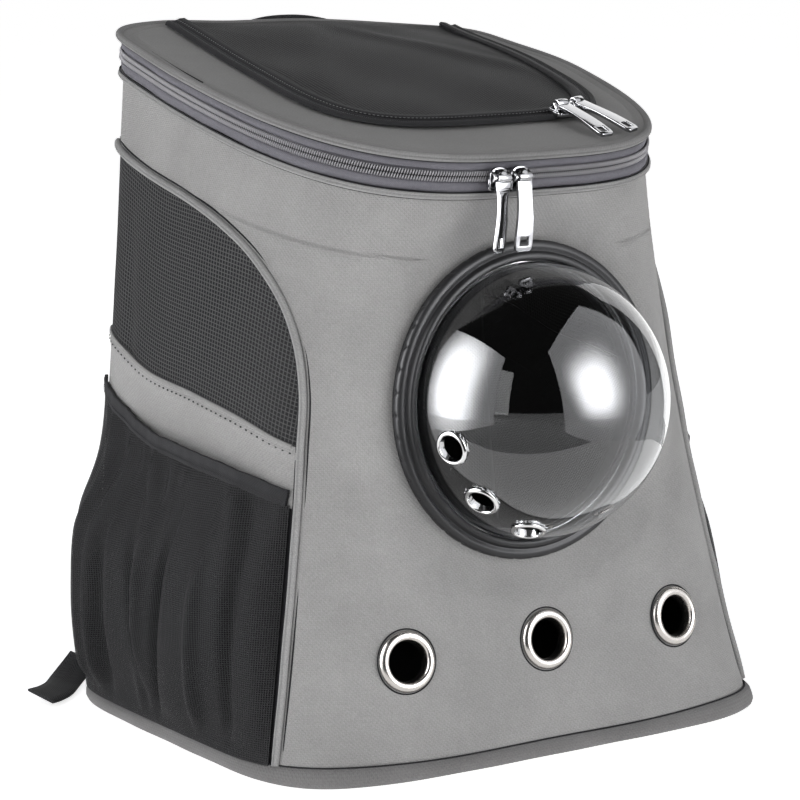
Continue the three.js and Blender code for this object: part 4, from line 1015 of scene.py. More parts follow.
# the net: a soft sheet, lifted along its hem, with slack folds
outl = resample(np.vstack([flap_line(8.6, 400), np.stack([np.linspace(flap_line(8.6, 400)[-1, 0], flap_line(8.6, 400)[0, 0], 160), np.full(160, FB)], -1)[1:-1]]), n=270, closed=True)
fc = np.array([FX, 8.0])
rho = np.linspace(0, 1, 42)
XY = fc + (outl - fc)[None] * rho[:, None, None]
x, y = XY[..., 0], XY[..., 1]
e = rho[:, None]
hgt = 2.6 + 2.2 * (1 - e ** 2.2)
hgt = hgt + 1.7 * np.exp(-(((x * 0.80 + y * 0.60 - 66) / 10.0) ** 2)) * smooth((1 - e) / 0.22) * smooth((x - 0) / 40)
hgt = hgt + 1.5 * np.exp(-(((x * 0.90 - y * 0.44 + 44) / 11.0) ** 2)) * smooth((1 - e) / 0.25) * smooth((40 - x) / 50)
hgt = hgt + (0.75 * np.sin(x / 15 + y / 26 + 0.6) + 0.55 * np.sin(y / 12 - x / 37)) * smooth((1 - e) / 0.15) * (0.4 + 0.6 * e)
hgt = hgt + 0.35 * np.sin(x / 5.2 + 0.5 * np.sin(y / 9)) * np.exp(-((1 - e) / 0.10) ** 2) * (y < 60)
P = np.concatenate([XY, (top_z(y) + hgt)[..., None]], -1)[::-1]
m_, n_ = P.shape[:2]
V = np.concatenate([P.reshape(-1, 3), (P - np.array([0, 0, 1.2])).reshape(-1, 3)])
F = grid_faces(m_, n_, True)
K0 = m_ * n_
j = np.arange(n_)
rim = np.stack([j, (j + 1) % n_, (j + 1) % n_ + K0, j + K0], -1)
nrm = np.cross(P[0, 1] - P[0, 0], P[1, 0] - P[0, 0])
Fo, Fi = (F, F[:, ::-1] + K0) if nrm[2] > 0 else (F[:, ::-1], F + K0)
rim = rim[:, ::-1] if nrm[2] > 0 else rim
o = make("flap_net", V, np.concatenate([Fo, Fi, rim]), [M_LIDNET], uv=np.concatenate([P[..., :2].reshape(-1, 2)] * 2), rep=("lid_flap",), slot="window_net")
# binding of the net's front hem
l = flap_line(9.6, 420)
g = flap_sweep("flap_binding", 10.2, [(-3.4, 2.2), (2.0, 2.2), (2.6, 3.2), (1.6, 4.5), (-2.6, 5.0), (-3.8, 4.0)], [M_BTAPE], slot="black_tape")

# ------------------------------------------------------------------ side pockets: stretch net gathered into an elastic top
AL = np.array([(0, 0.0), (0.06, 0.42), (0.16, 0.7), (0.32, 0.84), (0.5, 0.92), (0.68, 0.98), (0.84, 0.9), (0.94, 0.58), (1, 0.0)])
UP = np.array([(0, 3), (0.2, 17), (0.42, 27), (0.64, 28), (0.84, 16), (1, 7.5)])
AL_L, UP_L = curve2(AL * [100, 10]) / [100, 10], curve2(UP * [100, 1]) / [100, 1]


def pocket(side, tag):
    ns, nv = 196, 74
    s = np.linspace(0, 1, ns)
    ss = 0.35 * s + 0.65 * (0.5 - 0.5 * np.cos(np.pi * s))
    v = np.linspace(0, 1, nv)
    fy = seam_y(9.8 + (150 - 9.8) * v) + 4.2
    Y = fy[:, None] + (96 - fy[:, None]) * ss[None]
    Z = 9.8 + (foot_of(Y) + 2.0 - 9.8) * v[:, None]
    al = np.interp(ss, AL_L[:, 0], AL_L[:, 1])[None]
    upv = np.interp(v, UP_L[:, 0], UP_L[:, 1])[:, None]
    mouth = smooth((v - 0.62) / 0.38)[:, None] * smooth((ss - 0.5) / 0.32)[None]
    out = 2.2 + np.maximum(0, al * upv) * (1 - 0.88 * mouth) * (0.93 - 0.10 * np.exp(-((v - 0.45) / 0.3) ** 2))[:, None]
    # gathers: folds that start at the elastic and at the foot, and fade into the belly
    arc = ss[None] * 225 + 10 * np.sin(v * 3.0)[:, None] + 14 * (v[:, None] - 0.5) * np.sin(ss * 9)[None]
    top_w, low_w = np.exp(-((1 - v) / 0.36) ** 2)[:, None], np.exp(-(v / 0.42) ** 2)[:, None]
    g = 0.85 * np.sin(arc / 3.1) * np.exp(-((1 - v) / 0.12) ** 2)[:, None]
    g = g + 1.9 * top_w * (np.sin(arc / 6.3 + 0.8) + 0.5 * np.sin(arc / 3.9 + 2.0))
    g = g * 1.3 + 3.4 * (0.35 + 0.65 * low_w) * np.sin(arc / 15.5 + 1.9 + 0.8 * v[:, None]) * smooth(v / 0.12)[:, None]
    for c0, tilt_, wid, amp in ((150, 34, 5.0, -8.0), (128, 30, 6.0, 5.5), (72, 12, 5.0, -6.0), (182, 20, 5.0, 5.0), (44, 6, 5.0, 5.0), (96, -8, 4.5, -5.0), (205, 14, 4.5, -5.0), (60, 10, 4.5, 4.0)):
        g = g + amp * np.exp(-(((ss[None] * 225 - (225 - c0) - tilt_ * (1 - v[:, None])) / wid) ** 2)) * (smooth(v / 0.15) * smooth((1.02 - v) / 0.5))[:, None]
    rim_calm = smooth(ss / 0.09)[None] * smooth((1 - ss) / 0.08)[None] * smooth(v / 0.05)[:, None]
    g = g * rim_calm * (1 - 0.75 * np.exp(-((1 - v) / 0.03) ** 2))[:, None]
    k, t = side_k(Y, Z, side)
    n = normal(k, t)
    n[..., 2] = 0
    n = unit(n)
    d = unit(0.55 * n + 0.45 * np.array([side, 0.0, 0.0]))
    P = bag(k, t) + d * np.maximum(out + g - 1.2 * rim_calm, 1.2)[..., None]
    a = np.concatenate([np.zeros((nv, 1)), np.cumsum(np.linalg.norm(np.diff(P, axis=1), axis=-1), 1)], 1)
    uv = np.stack([a, Z], -1)
    o = shell(f"pocket_net_{tag}", P, uv, 0.9, [M_POCKET], out_sign=1 if side > 0 else -1, rep=(f"pocket_{tag}",), slot="pocket_net")
    # elastic along the top, over both faces of the net
    top = P[-1]
    dd = d[-1]
    top = resample(np.hstack([top, dd]), step=2.0)
    p, dd = top[:, :3], unit(top[:, 3:])
    sm = np.ones(9) / 9
    for i in range(3):
        q = np.convolve(np.pad(p[:, i], 4, mode="edge"), sm, "valid")
        p[:, i] = q
    hgt = 8.8
    sec = rounded([(-1.3, -1.2), (-1.3, hgt), (1.0, hgt), (1.0, -1.2)], 0.5, 2)
    ripple = 0.25 * np.sin(np.arange(len(p)) * 1.05) + 0.2 * np.sin(np.arange(len(p)) * 0.43)
    lean = np.array([0, 0, 1.0])
    t_ = unit(np.gradient(p, axis=0))
    upd = unit(lean - t_ * (t_ @ lean)[:, None])
    Pn = p[:, None] + dd[:, None] * (sec[None, :, :1] - 0.2 + ripple[:, None, None] * (sec[None, :, 1:2] / hgt)) + upd[:, None] * sec[None, :, 1:2] * 1.0
    m_, n_ = Pn.shape[:2]
    F = grid_faces(m_, n_, True)
    faces = F.tolist() + [list(range(n_))[::-1], [(m_ - 1) * n_ + i for i in range(n_)]]
    V = Pn.reshape(-1, 3)
    a_, b_, c_, d_ = (V[F[:, q]] for q in range(4))
    if (a_ * np.cross(b_, c_)).sum() + (a_ * np.cross(c_, d_)).sum() < 0:
        faces = [f[::-1] for f in faces]
    L = np.concatenate([[0], np.cumsum(np.linalg.norm(np.diff(p, axis=0), axis=1))])
    make(f"pocket_elastic_{tag}", V, faces, [M_BTAPE], uv=np.stack(np.broadcast_arrays(L[:, None], sec[None, :, 1]), -1).reshape(-1, 2),
         rep=(f"pocket_binding_{tag}",), slot="black_tape")
    stitches(f"pocket_stitch_{tag}", p + dd * 1.0 + upd * 1.6, dd, [M_THREAD_DARK], pitch=3.0, length=2.0, w=0.28, h=0.22)


pocket(-1, "left")
pocket(1, "right")

# ------------------------------------------------------------------ dome window
def grips(prof, th):
    """Finger notches round the ring's side wall."""
    out_wall = (prof[:, 0] > 92.0) & (prof[:, 1] < 6.9)
    n = (np.cos(th * 44) > 0.72).astype(float)
    return -0.9 * out_wall[:, None] * n[None]


R = DOME["ring"]
ring_prof = [(78.6, 2.9), (R - 0.4, 2.9), (R, 3.4), (R, 4.6), (R, 6.2), (R - 0.5, 7.2), (R - 1.6, 8.2), (R - 3.2, 8.8), (R - 4.6, 8.6), (R - 5.6, 8.05), (R - 6.3, 8.0),
             (R - 6.9, 8.6), (R - 7.4, 9.9), (R - 8.1, 10.6), (R - 9.4, 10.9), (R - 10.8, 10.7), (R - 11.6, 10.0), (82.5, 9.0), (82.5, 5.4), (78.6, 5.4)]
lathe("window_ring", ring_prof, D_C, D_AXIS, [M_PLASTIC], seg=352, wobble=grips, body="dome_unit", rep=("dome_ring",), slot="black_plastic", soft=False, angle=38)
lathe("window_collar", rounded([(78.0, -6.5), (R - 3, -6.5), (R - 3, -2.8), (84.5, -2.8), (84.5, 0.3), (R - 1.2, 0.3), (R - 1.4, 2.6), (78.0, 2.6)], 0.5, 3), D_C, D_AXIS, [M_COLLAR], seg=96,
      rep=("dome_collar",), slot="black_plastic", soft=False)
r0, r1 = DOME["bubble"], DOME["bubble"] - 1.3
mid = D_C + D_AXIS * DOME["seat"]


def bubble():
    seg, st = 256, 72
    a_o = np.linspace(0, math.pi / 2, st + 1)[:-1]
    prof_o = [(r0, 5.8 - 8.0)] + [(r0 * math.cos(a), r0 * math.sin(a)) for a in a_o]
    prof_i = [(r1, 5.8 - 8.0)] + [(r1 * math.cos(a), r1 * math.sin(a)) for a in a_o]
    X, Y = np.array([1.0, 0, 0]), np.cross(D_AXIS, np.array([1.0, 0, 0]))
    th = 2 * math.pi * np.arange(seg) / seg
    V, n = [], len(prof_o)
    for prof in (prof_o, prof_i):
        for r, h in prof:
            V.append(mid + D_AXIS * h + r * (np.cos(th)[:, None] * X + np.sin(th)[:, None] * Y))
    V = np.concatenate(V)
    tips = np.array([mid + D_AXIS * r0, mid + D_AXIS * r1])
    at = lambda g, i, j: (g * n + i) * seg + (j % seg)
    F = []
    dirs = []
    for pol, az in VENTS:
        a, b = math.radians(az), math.radians(pol)
        flat = -D_UP * math.cos(a) + np.array([-1.0, 0, 0]) * math.sin(a)
        dirs.append(unit(D_AXIS * math.cos(b) + flat * math.sin(b)))
    inhole = np.zeros(len(V), bool)
    d = unit(V - mid)
    for q in dirs:
        inhole |= (np.linalg.norm(np.cross(V - mid, q), axis=-1) < 9.0) & (d @ q > 0)
    cnt = {}
    rim = []
    kept = [[], []]
    for g in (0, 1):
        for i in range(n - 1):
            for j in range(seg):
                f = [at(0, i, j), at(0, i, j + 1), at(0, i + 1, j + 1), at(0, i + 1, j)]
                if inhole[f].any():
                    continue
                kept[g].append((i, j))
    keepset = set(kept[0])
    for i, j in kept[0]:
        F.append([at(0, i, j), at(0, i, j + 1), at(0, i + 1, j + 1), at(0, i + 1, j)])
        F.append([at(1, i, j), at(1, i + 1, j), at(1, i + 1, j + 1), at(1, i, j + 1)])
        for di, dj, e in ((-1, 0, ((i, j + 1), (i, j))), (1, 0, ((i + 1, j), (i + 1, j + 1))), (0, -1, ((i, j), (i + 1, j))), (0, 1, ((i + 1, j + 1), (i, j + 1)))):
            ni, nj = i + di, (j + dj) % seg
            if ni == n - 1 or (ni, nj) in keepset:
                continue
            (a0, a1), (b0, b1) = e
            F.append([at(0, a0, a1), at(0, b0, b1), at(1, b0, b1), at(1, a0, a1)])
    c0, c1 = len(V), len(V) + 1
    V = np.concatenate([V, tips])
    for j in range(seg):
        F.append([at(0, n - 1, j), at(0, n - 1, j + 1), c0])
        F.append([at(1, n - 1, j + 1), at(1, n - 1, j), c1])
    used = np.zeros(len(V), bool)
    for f in F:
        used[f] = True
    idx = np.cumsum(used) - 1
    F = [[int(idx[a]) for a in f] for f in F]
    V = V[used]
    tri = np.array([[f[0], f[1], f[2]] for f in F])
    if (V[tri[:, 0]] * np.cross(V[tri[:, 1]], V[tri[:, 2]])).sum() < 0:
        pass
    vol = 0.0
    for f in F:
        for q in range(1, len(f) - 1):
            vol += float(V[f[0]] @ np.cross(V[f[q]], V[f[q + 1]]))
    if vol < 0:
        F = [f[::-1] for f in F]
    make("window_bubble", V, F, [M_CLEAR], angle=60, body="dome_unit", rep=("dome_bubble",), slot="clear_plastic", soft=False)
    for i, q in enumerate(dirs):
        lathe(f"window_vent_{i + 1}", rounded([(7.9, -3.6), (8.9, -3.6), (9.0, 0.0), (10.3, 0.0), (10.6, 0.7), (9.7, 1.7), (8.5, 1.9), (7.9, 1.2)], 0.5, 3), mid + q * r0, q, [M_RIM],
              seg=72, body="dome_unit", rep=(f"dome_vent_{i + 1}",), slot="nickel", soft=False)


bubble()

# ------------------------------------------------------------------ eyelets
for i, (p0, n0) in enumerate(EYES):
    prof = rounded([(11.6, -4.6), (16.4, -4.6), (16.4, -3.6), (13.2, -3.5), (13.2, 0.5), (17.6, 0.4), (18.1, 1.2), (17.4, 2.6), (15.9, 3.7), (14.2, 3.9), (12.9, 3.2), (12.1, 1.6), (11.7, -1.0)], 0.7, 3)
    lathe(f"eyelet_ring_{i + 1}", prof, p0, n0, [M_NICKEL], seg=72, rep=(f"eyelet_{i + 1}",), slot="nickel", soft=False)
    a = 2 * math.pi * np.arange(60) / 60
    h = unit(np.array([0, 0, 1.0]) - n0 * n0[2])
    w = np.cross(n0, h)
    sweep(f"eyelet_shade_{i + 1}", p0 + n0 * 0.15 + 18.9 * (np.cos(a)[:, None] * h + np.sin(a)[:, None] * w), circle(0.45, 6), [M_SHADE_CORD], hint=n0, closed=True, soft=False)


# ------------------------------------------------------------------ zip sliders and pull tabs
def plate(outline_, holes, z0, z1, bevel, bend=None):
    """A flat metal piece with holes, its edges rounded, made as a filled curve. Returns vertices and faces."""
    cu = bpy.data.curves.new("tmp", "CURVE")
    cu.dimensions, cu.fill_mode, cu.extrude, cu.bevel_depth, cu.bevel_resolution = "2D", "BOTH", max(1e-4, (z1 - z0) / 2 - bevel), bevel, 2
    for loop in [outline_, *holes]:
        sp = cu.splines.new("POLY")
        sp.points.add(len(loop) - 1)
        for q, (x_, y_) in zip(sp.points, loop):
            q.co = (x_, y_, 0, 1)
        sp.use_cyclic_u = True
    ob = bpy.data.objects.new("tmp", cu)
    bpy.context.scene.collection.objects.link(ob)
    me = ob.to_mesh(depsgraph=bpy.context.evaluated_depsgraph_get()) if False else None
    dg = bpy.context.evaluated_depsgraph_get()
    me = bpy.data.meshes.new_from_object(ob.evaluated_get(dg))
    V = np.array([v.co for v in me.vertices], float)
    F = [list(p.vertices) for p in me.polygons]
    bpy.data.objects.remove(ob)
    bpy.data.curves.remove(cu)
    bpy.data.meshes.remove(me)
    # weld what the curve left apart
    key, out, remap = {}, [], []
    for p in V:
        k_ = tuple(np.round(p, 4))
        if k_ not in key:
            key[k_] = len(out)
            out.append(p)
        remap.append(key[k_])
    F = [[remap[a] for a in f] for f in F]
    F = [f for f in ([a for i, a in enumerate(f) if a != f[i - 1]] for f in F) if len(f) > 2]
    V = np.array(out)
    V[:, 2] += (z0 + z1) / 2
    return V, F


def loopy(points, r=0.6, n=4):
    return rounded(points, r, n)


def ring_hole(cx, cy, r, n=20):
    a = 2 * math.pi * np.arange(n) / n
    return np.stack([cx + r * np.cos(a), cy + r * np.sin(a)], -1)


def bar_mesh(p0, p1, r, n=20, cap=0.3):
    """A round bar with eased ends."""
    p0, p1 = np.array(p0, float), np.array(p1, float)
    ax = unit(p1 - p0)
    h = np.array([0, 0, 1.0]) if abs(ax[2]) < 0.8 else np.array([1.0, 0, 0])
    X = unit(h - ax * (h @ ax))
    Y = np.cross(ax, X)
    L = np.linalg.norm(p1 - p0)
    prof = [(0.001, 0), (r - cap, 0), (r - 0.3 * cap, 0.3 * cap), (r, cap), (r, L - cap), (r - 0.3 * cap, L - 0.3 * cap), (r - cap, L), (0.001, L)]
    th = 2 * math.pi * np.arange(n) / n
    V = np.concatenate([p0 + ax * h_ + r_ * (np.cos(th)[:, None] * X + np.sin(th)[:, None] * Y) for r_, h_ in prof])
    F = [[i * n + j, i * n + (j + 1) % n, (i + 1) * n + (j + 1) % n, (i + 1) * n + j] for i in range(len(prof) - 1) for j in range(n)]
    F += [list(range(n))[::-1], [(len(prof) - 1) * n + j for j in range(n)]]
    return V, F


def arch_mesh(path, rx, rz, n=12):
    path = np.asarray(path, float)
    t_, o_, w_ = frames(path, np.array([1.0, 0, 0]))
    c_ = circle(1.0, n)
    P = path[:, None] + o_[:, None] * c_[None, :, :1] * rx + w_[:, None] * c_[None, :, 1:2] * rz
    m_ = len(path)
    F = grid_faces(m_, n, True).tolist() + [list(range(n))[::-1], [(m_ - 1) * n + i for i in range(n)]]
    V = P.reshape(-1, 3)
    return V, F


def joined(parts):
    V, F, k_ = [], [], 0
    for v, f in parts:
        vol = sum(float(v[g[0]] @ np.cross(v[g[q]], v[g[q + 1]])) for g in f for q in range(1, len(g) - 1))
        if vol < 0:
            f = [g[::-1] for g in f]
        V.append(v)
        F += [[a + k_ for a in g] for g in f]
        k_ += len(v)
    return np.concatenate(V), F


def tab_shape():
    """The pull: a ringed eye, a waisted blade that bows forward, and a slot near its end."""
    ln = 43.0
    right_ = [(3.6, 1.2), (4.6, -1.6), (4.9, -5.0), (4.4, -9.0), (4.4, -16.0), (5.0, -25.0), (5.4, -33.0), (5.4, -40.5), (4.2, -43.0)]
    out_ = loopy(right_ + [(-x_, y_) for x_, y_ in right_[::-1]], 1.2, 3)
    slot_ = loopy([(-3.0, -34.2), (3.0, -34.2), (3.2, -40.6), (-3.2, -40.6)], 0.8, 3)
    V, F = plate(out_, [slot_[::-1]], -1.1, 1.1, 0.42)
    return V, F


TAB_V, TAB_F = tab_shape()


def hardware(tag, pivot, along, face, droop, big):
    ya = unit(-np.asarray(along, float))
    za = np.asarray(face, float)
    za = unit(za - ya * (za @ ya))
    xa = np.cross(ya, za)
    B = np.stack([xa, ya, za], 1)
    put = lambda V: pivot + V @ B.T
    # slider body: a wide plate with shoulders, raised cheeks and an arched bridge that holds the bar
    body_out = loopy([(-6.4, -6.6), (-4.6, -7.4), (4.6, -7.4), (6.4, -6.6), (6.6, -1.0), (5.4, 3.4), (3.0, 5.2), (0, 5.6), (-3.0, 5.2), (-5.4, 3.4), (-6.6, -1.0)], 1.2, 3)
    parts = [plate(body_out, [], -6.0, -3.4, 0.6)]
    for s_ in (-1, 1):
        parts.append(plate(loopy([(s_ * 6.6 - 0.2, -5.6), (s_ * 6.6 + 0.2, -5.6), (s_ * 6.6 + 0.2, 2.6), (s_ * 6.6 - 0.2, 2.6)], 0.1, 1), [], -6.4, -2.6, 0.25))
        cheek = [(s_ * 5.4, -3.0, -3.6), (s_ * 5.5, -1.6, -1.2), (s_ * 5.4, 0.0, 0.3), (s_ * 5.3, 1.6, -1.0), (s_ * 5.2, 3.0, -3.6)]
        parts.append(arch_mesh(resample(np.array(cheek), n=14), 0.95, 0.95))
    parts.append(bar_mesh((-6.2, 0, 0), (6.2, 0, 0), 0.95))
    parts.append(arch_mesh(resample(np.array([(0, 4.4, -3.4), (0, 4.6, -1.4), (0, 3.2, 0.4), (0, 1.6, 1.4), (0, 0.2, 1.7)]), n=16), 2.6, 0.8))
    V, F = joined(parts)
    make(f"zip_slider_{tag}", put(V), F, [M_CHROME], angle=35, rep=(f"slider_{tag}",), slot="pull_metal", soft=False)
    # tab, threaded on the bar by a knuckle
    V = TAB_V.copy()
    y_ = V[:, 1]
    V[:, 2] += 0.9 * np.sin(np.clip(-(y_ + 4) / 39, 0, 1) * math.pi)
    V[:, 0] += -1.3 * smooth((-y_ - 22) / 20) if big else 0.0
    tw = np.radians(-27 if tag == "front_1" else 5 if big else 0) * smooth((-y_ - 3) / 9)
    V[:, 0], V[:, 2] = V[:, 0] * np.cos(tw) - V[:, 2] * np.sin(tw), V[:, 0] * np.sin(tw) + V[:, 2] * np.cos(tw)
    keepf = []
    for f in TAB_F:
        keepf.append(f)
    parts = [(V, keepf)]
    kn = []
    a_ = 2 * math.pi * np.arange(28) / 28
    for xx, ro in ((-4.2, 2.75), (4.2, 2.75)):
        pass
    prof = rounded([(1.35, -4.3), (2.7, -4.3), (2.95, 0), (2.7, 4.3), (1.35, 4.3)], 0.4, 2)
    K_ = []
    for r_, h_ in prof:
        K_.append(np.stack([np.full(28, h_), r_ * np.cos(a_), r_ * np.sin(a_)], -1))
    K_ = np.concatenate(K_)
    m_ = len(prof)
    Fk = [[i * 28 + j, ((i + 1) % m_) * 28 + j, ((i + 1) % m_) * 28 + (j + 1) % 28, i * 28 + (j + 1) % 28] for i in range(m_) for j in range(28)]
    # the blade starts below the knuckle
    V2 = V.copy()
    V2[:, 1] = np.where(V2[:, 1] > -2.2, -2.2 + (V2[:, 1] + 2.2) * 0.05, V2[:, 1])
    V, F = joined([(V2, keepf), (K_, Fk)])
    c_, s_ = math.cos(math.radians(droop)), math.sin(math.radians(droop))
    V = np.stack([V[:, 0], V[:, 1] * c_ - V[:, 2] * s_, V[:, 1] * s_ + V[:, 2] * c_], -1)
    make(f"pull_tab_{tag}", put(V), F, [M_CHROME], angle=35, body=f"pull_{tag}", rep=(f"tab_{tag}",), slot="pull_metal", soft=False)


for tag, x_, lean in (("front_1", -33.5, -0.05), ("front_2", -18.5, 0.02)):
    hardware(tag, np.array([x_, FRONT_Y - 10.4, 343.2]), np.array([lean, 0, -1.0]), np.array([0, -1.0, 0]), 0, True)
for tag, x_, y_, dx in (("lid_1", 52, -107, 0.12), ("lid_2", 66, -104, 0.36)):
    al_ = np.array([dx, -math.sqrt(1 - dx * dx), 0])
    al_[2] = al_[1] * LID_SLOPE
    hardware(tag, np.array([x_, y_, top_z(y_) + 10.4]), al_, np.array([0, -LID_SLOPE, 1.0]), 9, False)

# ------------------------------------------------------------------ straps, webbing, handle
def spline3(rows, n):
    return resample(curve2(np.asarray(rows, float), 300), n=n)


def strap(name, rows, width, section, mats, n, hint=(0, 1.0, 0), crown=0.0, **kw):
    p = spline3(rows, n)
    u = np.linspace(0, 1, n)
    w = np.array([width(q) if callable(width) else width for q in u]) / 2
    sec = np.asarray(section, float)            # (height, across in half widths)
    S = np.stack([np.repeat(sec[None, :, 0], n, 0), w[:, None] * sec[None, :, 1]], -1)
    if crown:
        ends = smooth(u / 0.05) * smooth((1 - u) / 0.05)
        S[..., 0] = S[..., 0] * (1 - crown * (1 - ends[:, None]))
    return sweep(name, p, S, mats, hint=np.array(hint), **kw), p, u, w


pad_sec = []
for a_ in np.linspace(0, 2 * math.pi, 41)[:-1]:
    cc, ss_ = math.cos(a_), math.sin(a_)
    pad_sec.append((5.2 * np.sign(ss_) * abs(ss_) ** 0.55 * (1 - 0.28 * abs(cc) ** 3), np.sign(cc) * abs(cc) ** 0.42))
flat_sec = lambda h: [(-h, -0.94), (-h, -0.5), (-h, 0), (-h, 0.5), (-h, 0.94), (-h * 0.5, 1.0), (h * 0.5, 1.0), (h, 0.94), (h, 0.5), (h, 0), (h, -0.5), (h, -0.94), (h * 0.5, -1.0), (-h * 0.5, -1.0)]
for s_, tag in ((-1, "left"), (1, "right")):
    rows = [(s_ * 52, 121.6, 352), (s_ * 55, 134, 336), (s_ * 62, 145, 300), (s_ * 71, 150, 250), (s_ * 78, 146, 195), (s_ * 82, 134, 140)]
    o, p, u, w = strap(f"strap_pad_{tag}", rows, lambda q: 60 - 14 * q, pad_sec, [M_PAD], 110, rep=(f"shoulder_strap_{tag}",), slot="strap_pad", crown=0.55)
    t_, o_, w_ = frames(p, np.array([0, 1.0, 0]))
    for e_, nm in ((-1, "a"), (1, "b")):
        edge_p = p + w_ * (w * e_ * 0.985)[:, None]
        sweep(f"strap_binding_{tag}_{nm}", edge_p, [(-4.6, -1.2), (4.6, -1.2), (5.0, 0.2), (3.6, 1.3), (-3.6, 1.3), (-5.0, 0.2)] if e_ > 0 else [(-4.6, 1.2), (-5.0, -0.2), (-3.6, -1.3), (3.6, -1.3), (5.0, -0.2), (4.6, 1.2)], [M_BTAPE], hint=o_, slot="black_tape")
        sp = p + w_ * ((w - 5.0) * e_)[:, None] + o_ * 4.75
        stitches(f"strap_stitch_{tag}_{nm}", sp[3:-3], o_[3:-3], [M_THREAD_DARK], pitch=3.4, length=2.2, w=0.3, h=0.25)
    # load webbing sewn down the middle of the pad's outer face
    sweep(f"strap_centre_{tag}", (p + o_ * 5.0)[2:-1], [(-0.2, -9.5), (0.9, -9.5), (1.2, 0), (0.9, 9.5), (-0.2, 9.5), (-0.4, 0)], [M_WEB], hint=o_[2:-1], slot="webbing")
    rows = [(s_ * 84, 130.5, 134.2), (s_ * 97, 127, 104), (s_ * 119, 125, 70), (s_ * 141, 122.5, 39), (s_ * 150, 120, 26)]
    strap(f"webbing_{tag}", rows, 25, flat_sec(1.0), [M_WEB], 60, rep=(f"strap_webbing_{tag}",), slot="webbing")
    rows = [(s_ * 156, 123, 15), (s_ * 165, 119, 9), (s_ * 177, 109, 5.4), (s_ * 188, 97, 4.8), (s_ * 199, 88, 5.4), (s_ * 208.5, 82, 6.4)]
    strap(f"webbing_tail_{tag}", rows, 20, flat_sec(0.9), [M_WEB], 50, hint=(0, -0.36, 0.93), rep=(f"strap_tail_{tag}",), slot="webbing", soft=False)
    # ladder buckle between pad and webbing
    c_ = np.array([s_ * 83.2, 132.6, 137.0])
    d_ = unit(np.array([s_ * 0.30, -0.25, -0.9]))
    xw = unit(np.cross(d_, np.array([0, 1.0, 0])))
    for k_, off_ in enumerate((-6.5, 0.0, 6.5)):
        a0 = c_ + d_ * off_
        V, F = bar_mesh(a0 - xw * 15.5, a0 + xw * 15.5, 1.35, cap=0.5)
        make(f"buckle_bar_{tag}_{k_}", V, F, [M_PLASTIC], angle=35, slot="black_plastic", soft=False)
    for k_, e_ in enumerate((-1, 1)):
        V, F = bar_mesh(c_ + xw * 15.0 * e_ - d_ * 8.2, c_ + xw * 15.0 * e_ + d_ * 8.2, 1.6, cap=0.6)
        make(f"buckle_side_{tag}_{k_}", V, F, [M_PLASTIC], angle=35, slot="black_plastic", soft=False)

rows = [(-56, 118.6, 372), (-53, 119.5, 392), (-40, 121.5, 406), (-20, 122.8, 412), (0, 123, 413.5), (20, 122.8, 412), (40, 121.5, 406), (53, 119.5, 392), (56, 118.6, 372)]
o, p, u, w = strap("handle_loop", rows, 17, flat_sec(1.6), [M_WEB], 120, rep=("grab_handle",), slot="webbing", soft=False)
t_, o_, w_ = frames(p, np.array([0, 1.0, 0]))
for e_, nm in ((-1, "a"), (1, "b")):
    stitches(f"handle_stitch_{nm}", (p + w_ * 6.6 * e_ + o_ * 1.6)[6:-6], o_[6:-6], [M_THREAD_DARK], pitch=3.2, length=2.1, w=0.3, h=0.25, soft=False)

# ------------------------------------------------------------------ floor, lights, world
def stage_mesh(name, V, F, mat):
    me = bpy.data.meshes.new(name)
    me.from_pydata([tuple(v) for v in V], [], F)
    me.materials.append(mat)
    o = bpy.data.objects.new(name, me)
    bpy.context.scene.collection.objects.link(o)
    return o


fm = Mat("floor_mat", (0.93, 0.93, 0.93), 0.75, Specular_IOR_Level=0.2)
fm.color(fm.mix(fm.noise(3.0, 2.0), (0.92, 0.92, 0.92), (0.94, 0.94, 0.94)))
fm.b.inputs["Emission Color"].default_value = (1, 1, 1, 1)
fm.b.inputs["Emission Strength"].default_value = 0.74
rim_xy = [(-0.66, 0.17), (-0.627, -0.04), (-0.464, -0.194), (-0.358, -0.282), (-0.254, -0.375), (-0.156, -0.455), (-0.029, -0.55), (0.107, -0.62), (0.28, -0.572), (0.413, -0.446), (0.56, -0.2), (0.6, 0.3), (0.4, 0.66), (-0.4, 0.66)]
near = stage_mesh("table", [(x_, y_, 0.0) for x_, y_ in rim_xy], [tuple(range(len(rim_xy)))], fm.m)
far = stage_mesh("floor_far", [(x_, y_, 0.0) for x_, y_ in rim_xy] + [(x_ * 30, y_ * 30, 0.0) for x_, y_ in rim_xy],
                 [(i_ + len(rim_xy), (i_ + 1) % len(rim_xy) + len(rim_xy), (i_ + 1) % len(rim_xy), i_) for i_ in range(len(rim_xy))], fm.m)
far.visible_glossy = False

w = bpy.data.worlds.new("studio")
bpy.context.scene.world = w
w.use_nodes = True
nt = w.node_tree
bg = nt.nodes["Background"]
lp = nt.nodes.new("ShaderNodeLightPath")
mx = nt.nodes.new("ShaderNodeMix")
mx.data_type = "FLOAT"
nt.links.new(lp.outputs["Is Glossy Ray"], mx.inputs[0])
mx.inputs[2].default_value, mx.inputs[3].default_value = 1.0, 0.03
md = nt.nodes.new("ShaderNodeMix")
md.data_type = "FLOAT"
nt.links.new(lp.outputs["Is Diffuse Ray"], md.inputs[0])
nt.links.new(mx.outputs[0], md.inputs[2])
md.inputs[3].default_value = 0.30
nt.links.new(md.outputs[0], bg.inputs["Strength"])
bg.inputs["Color"].default_value = (1, 1, 1, 1)


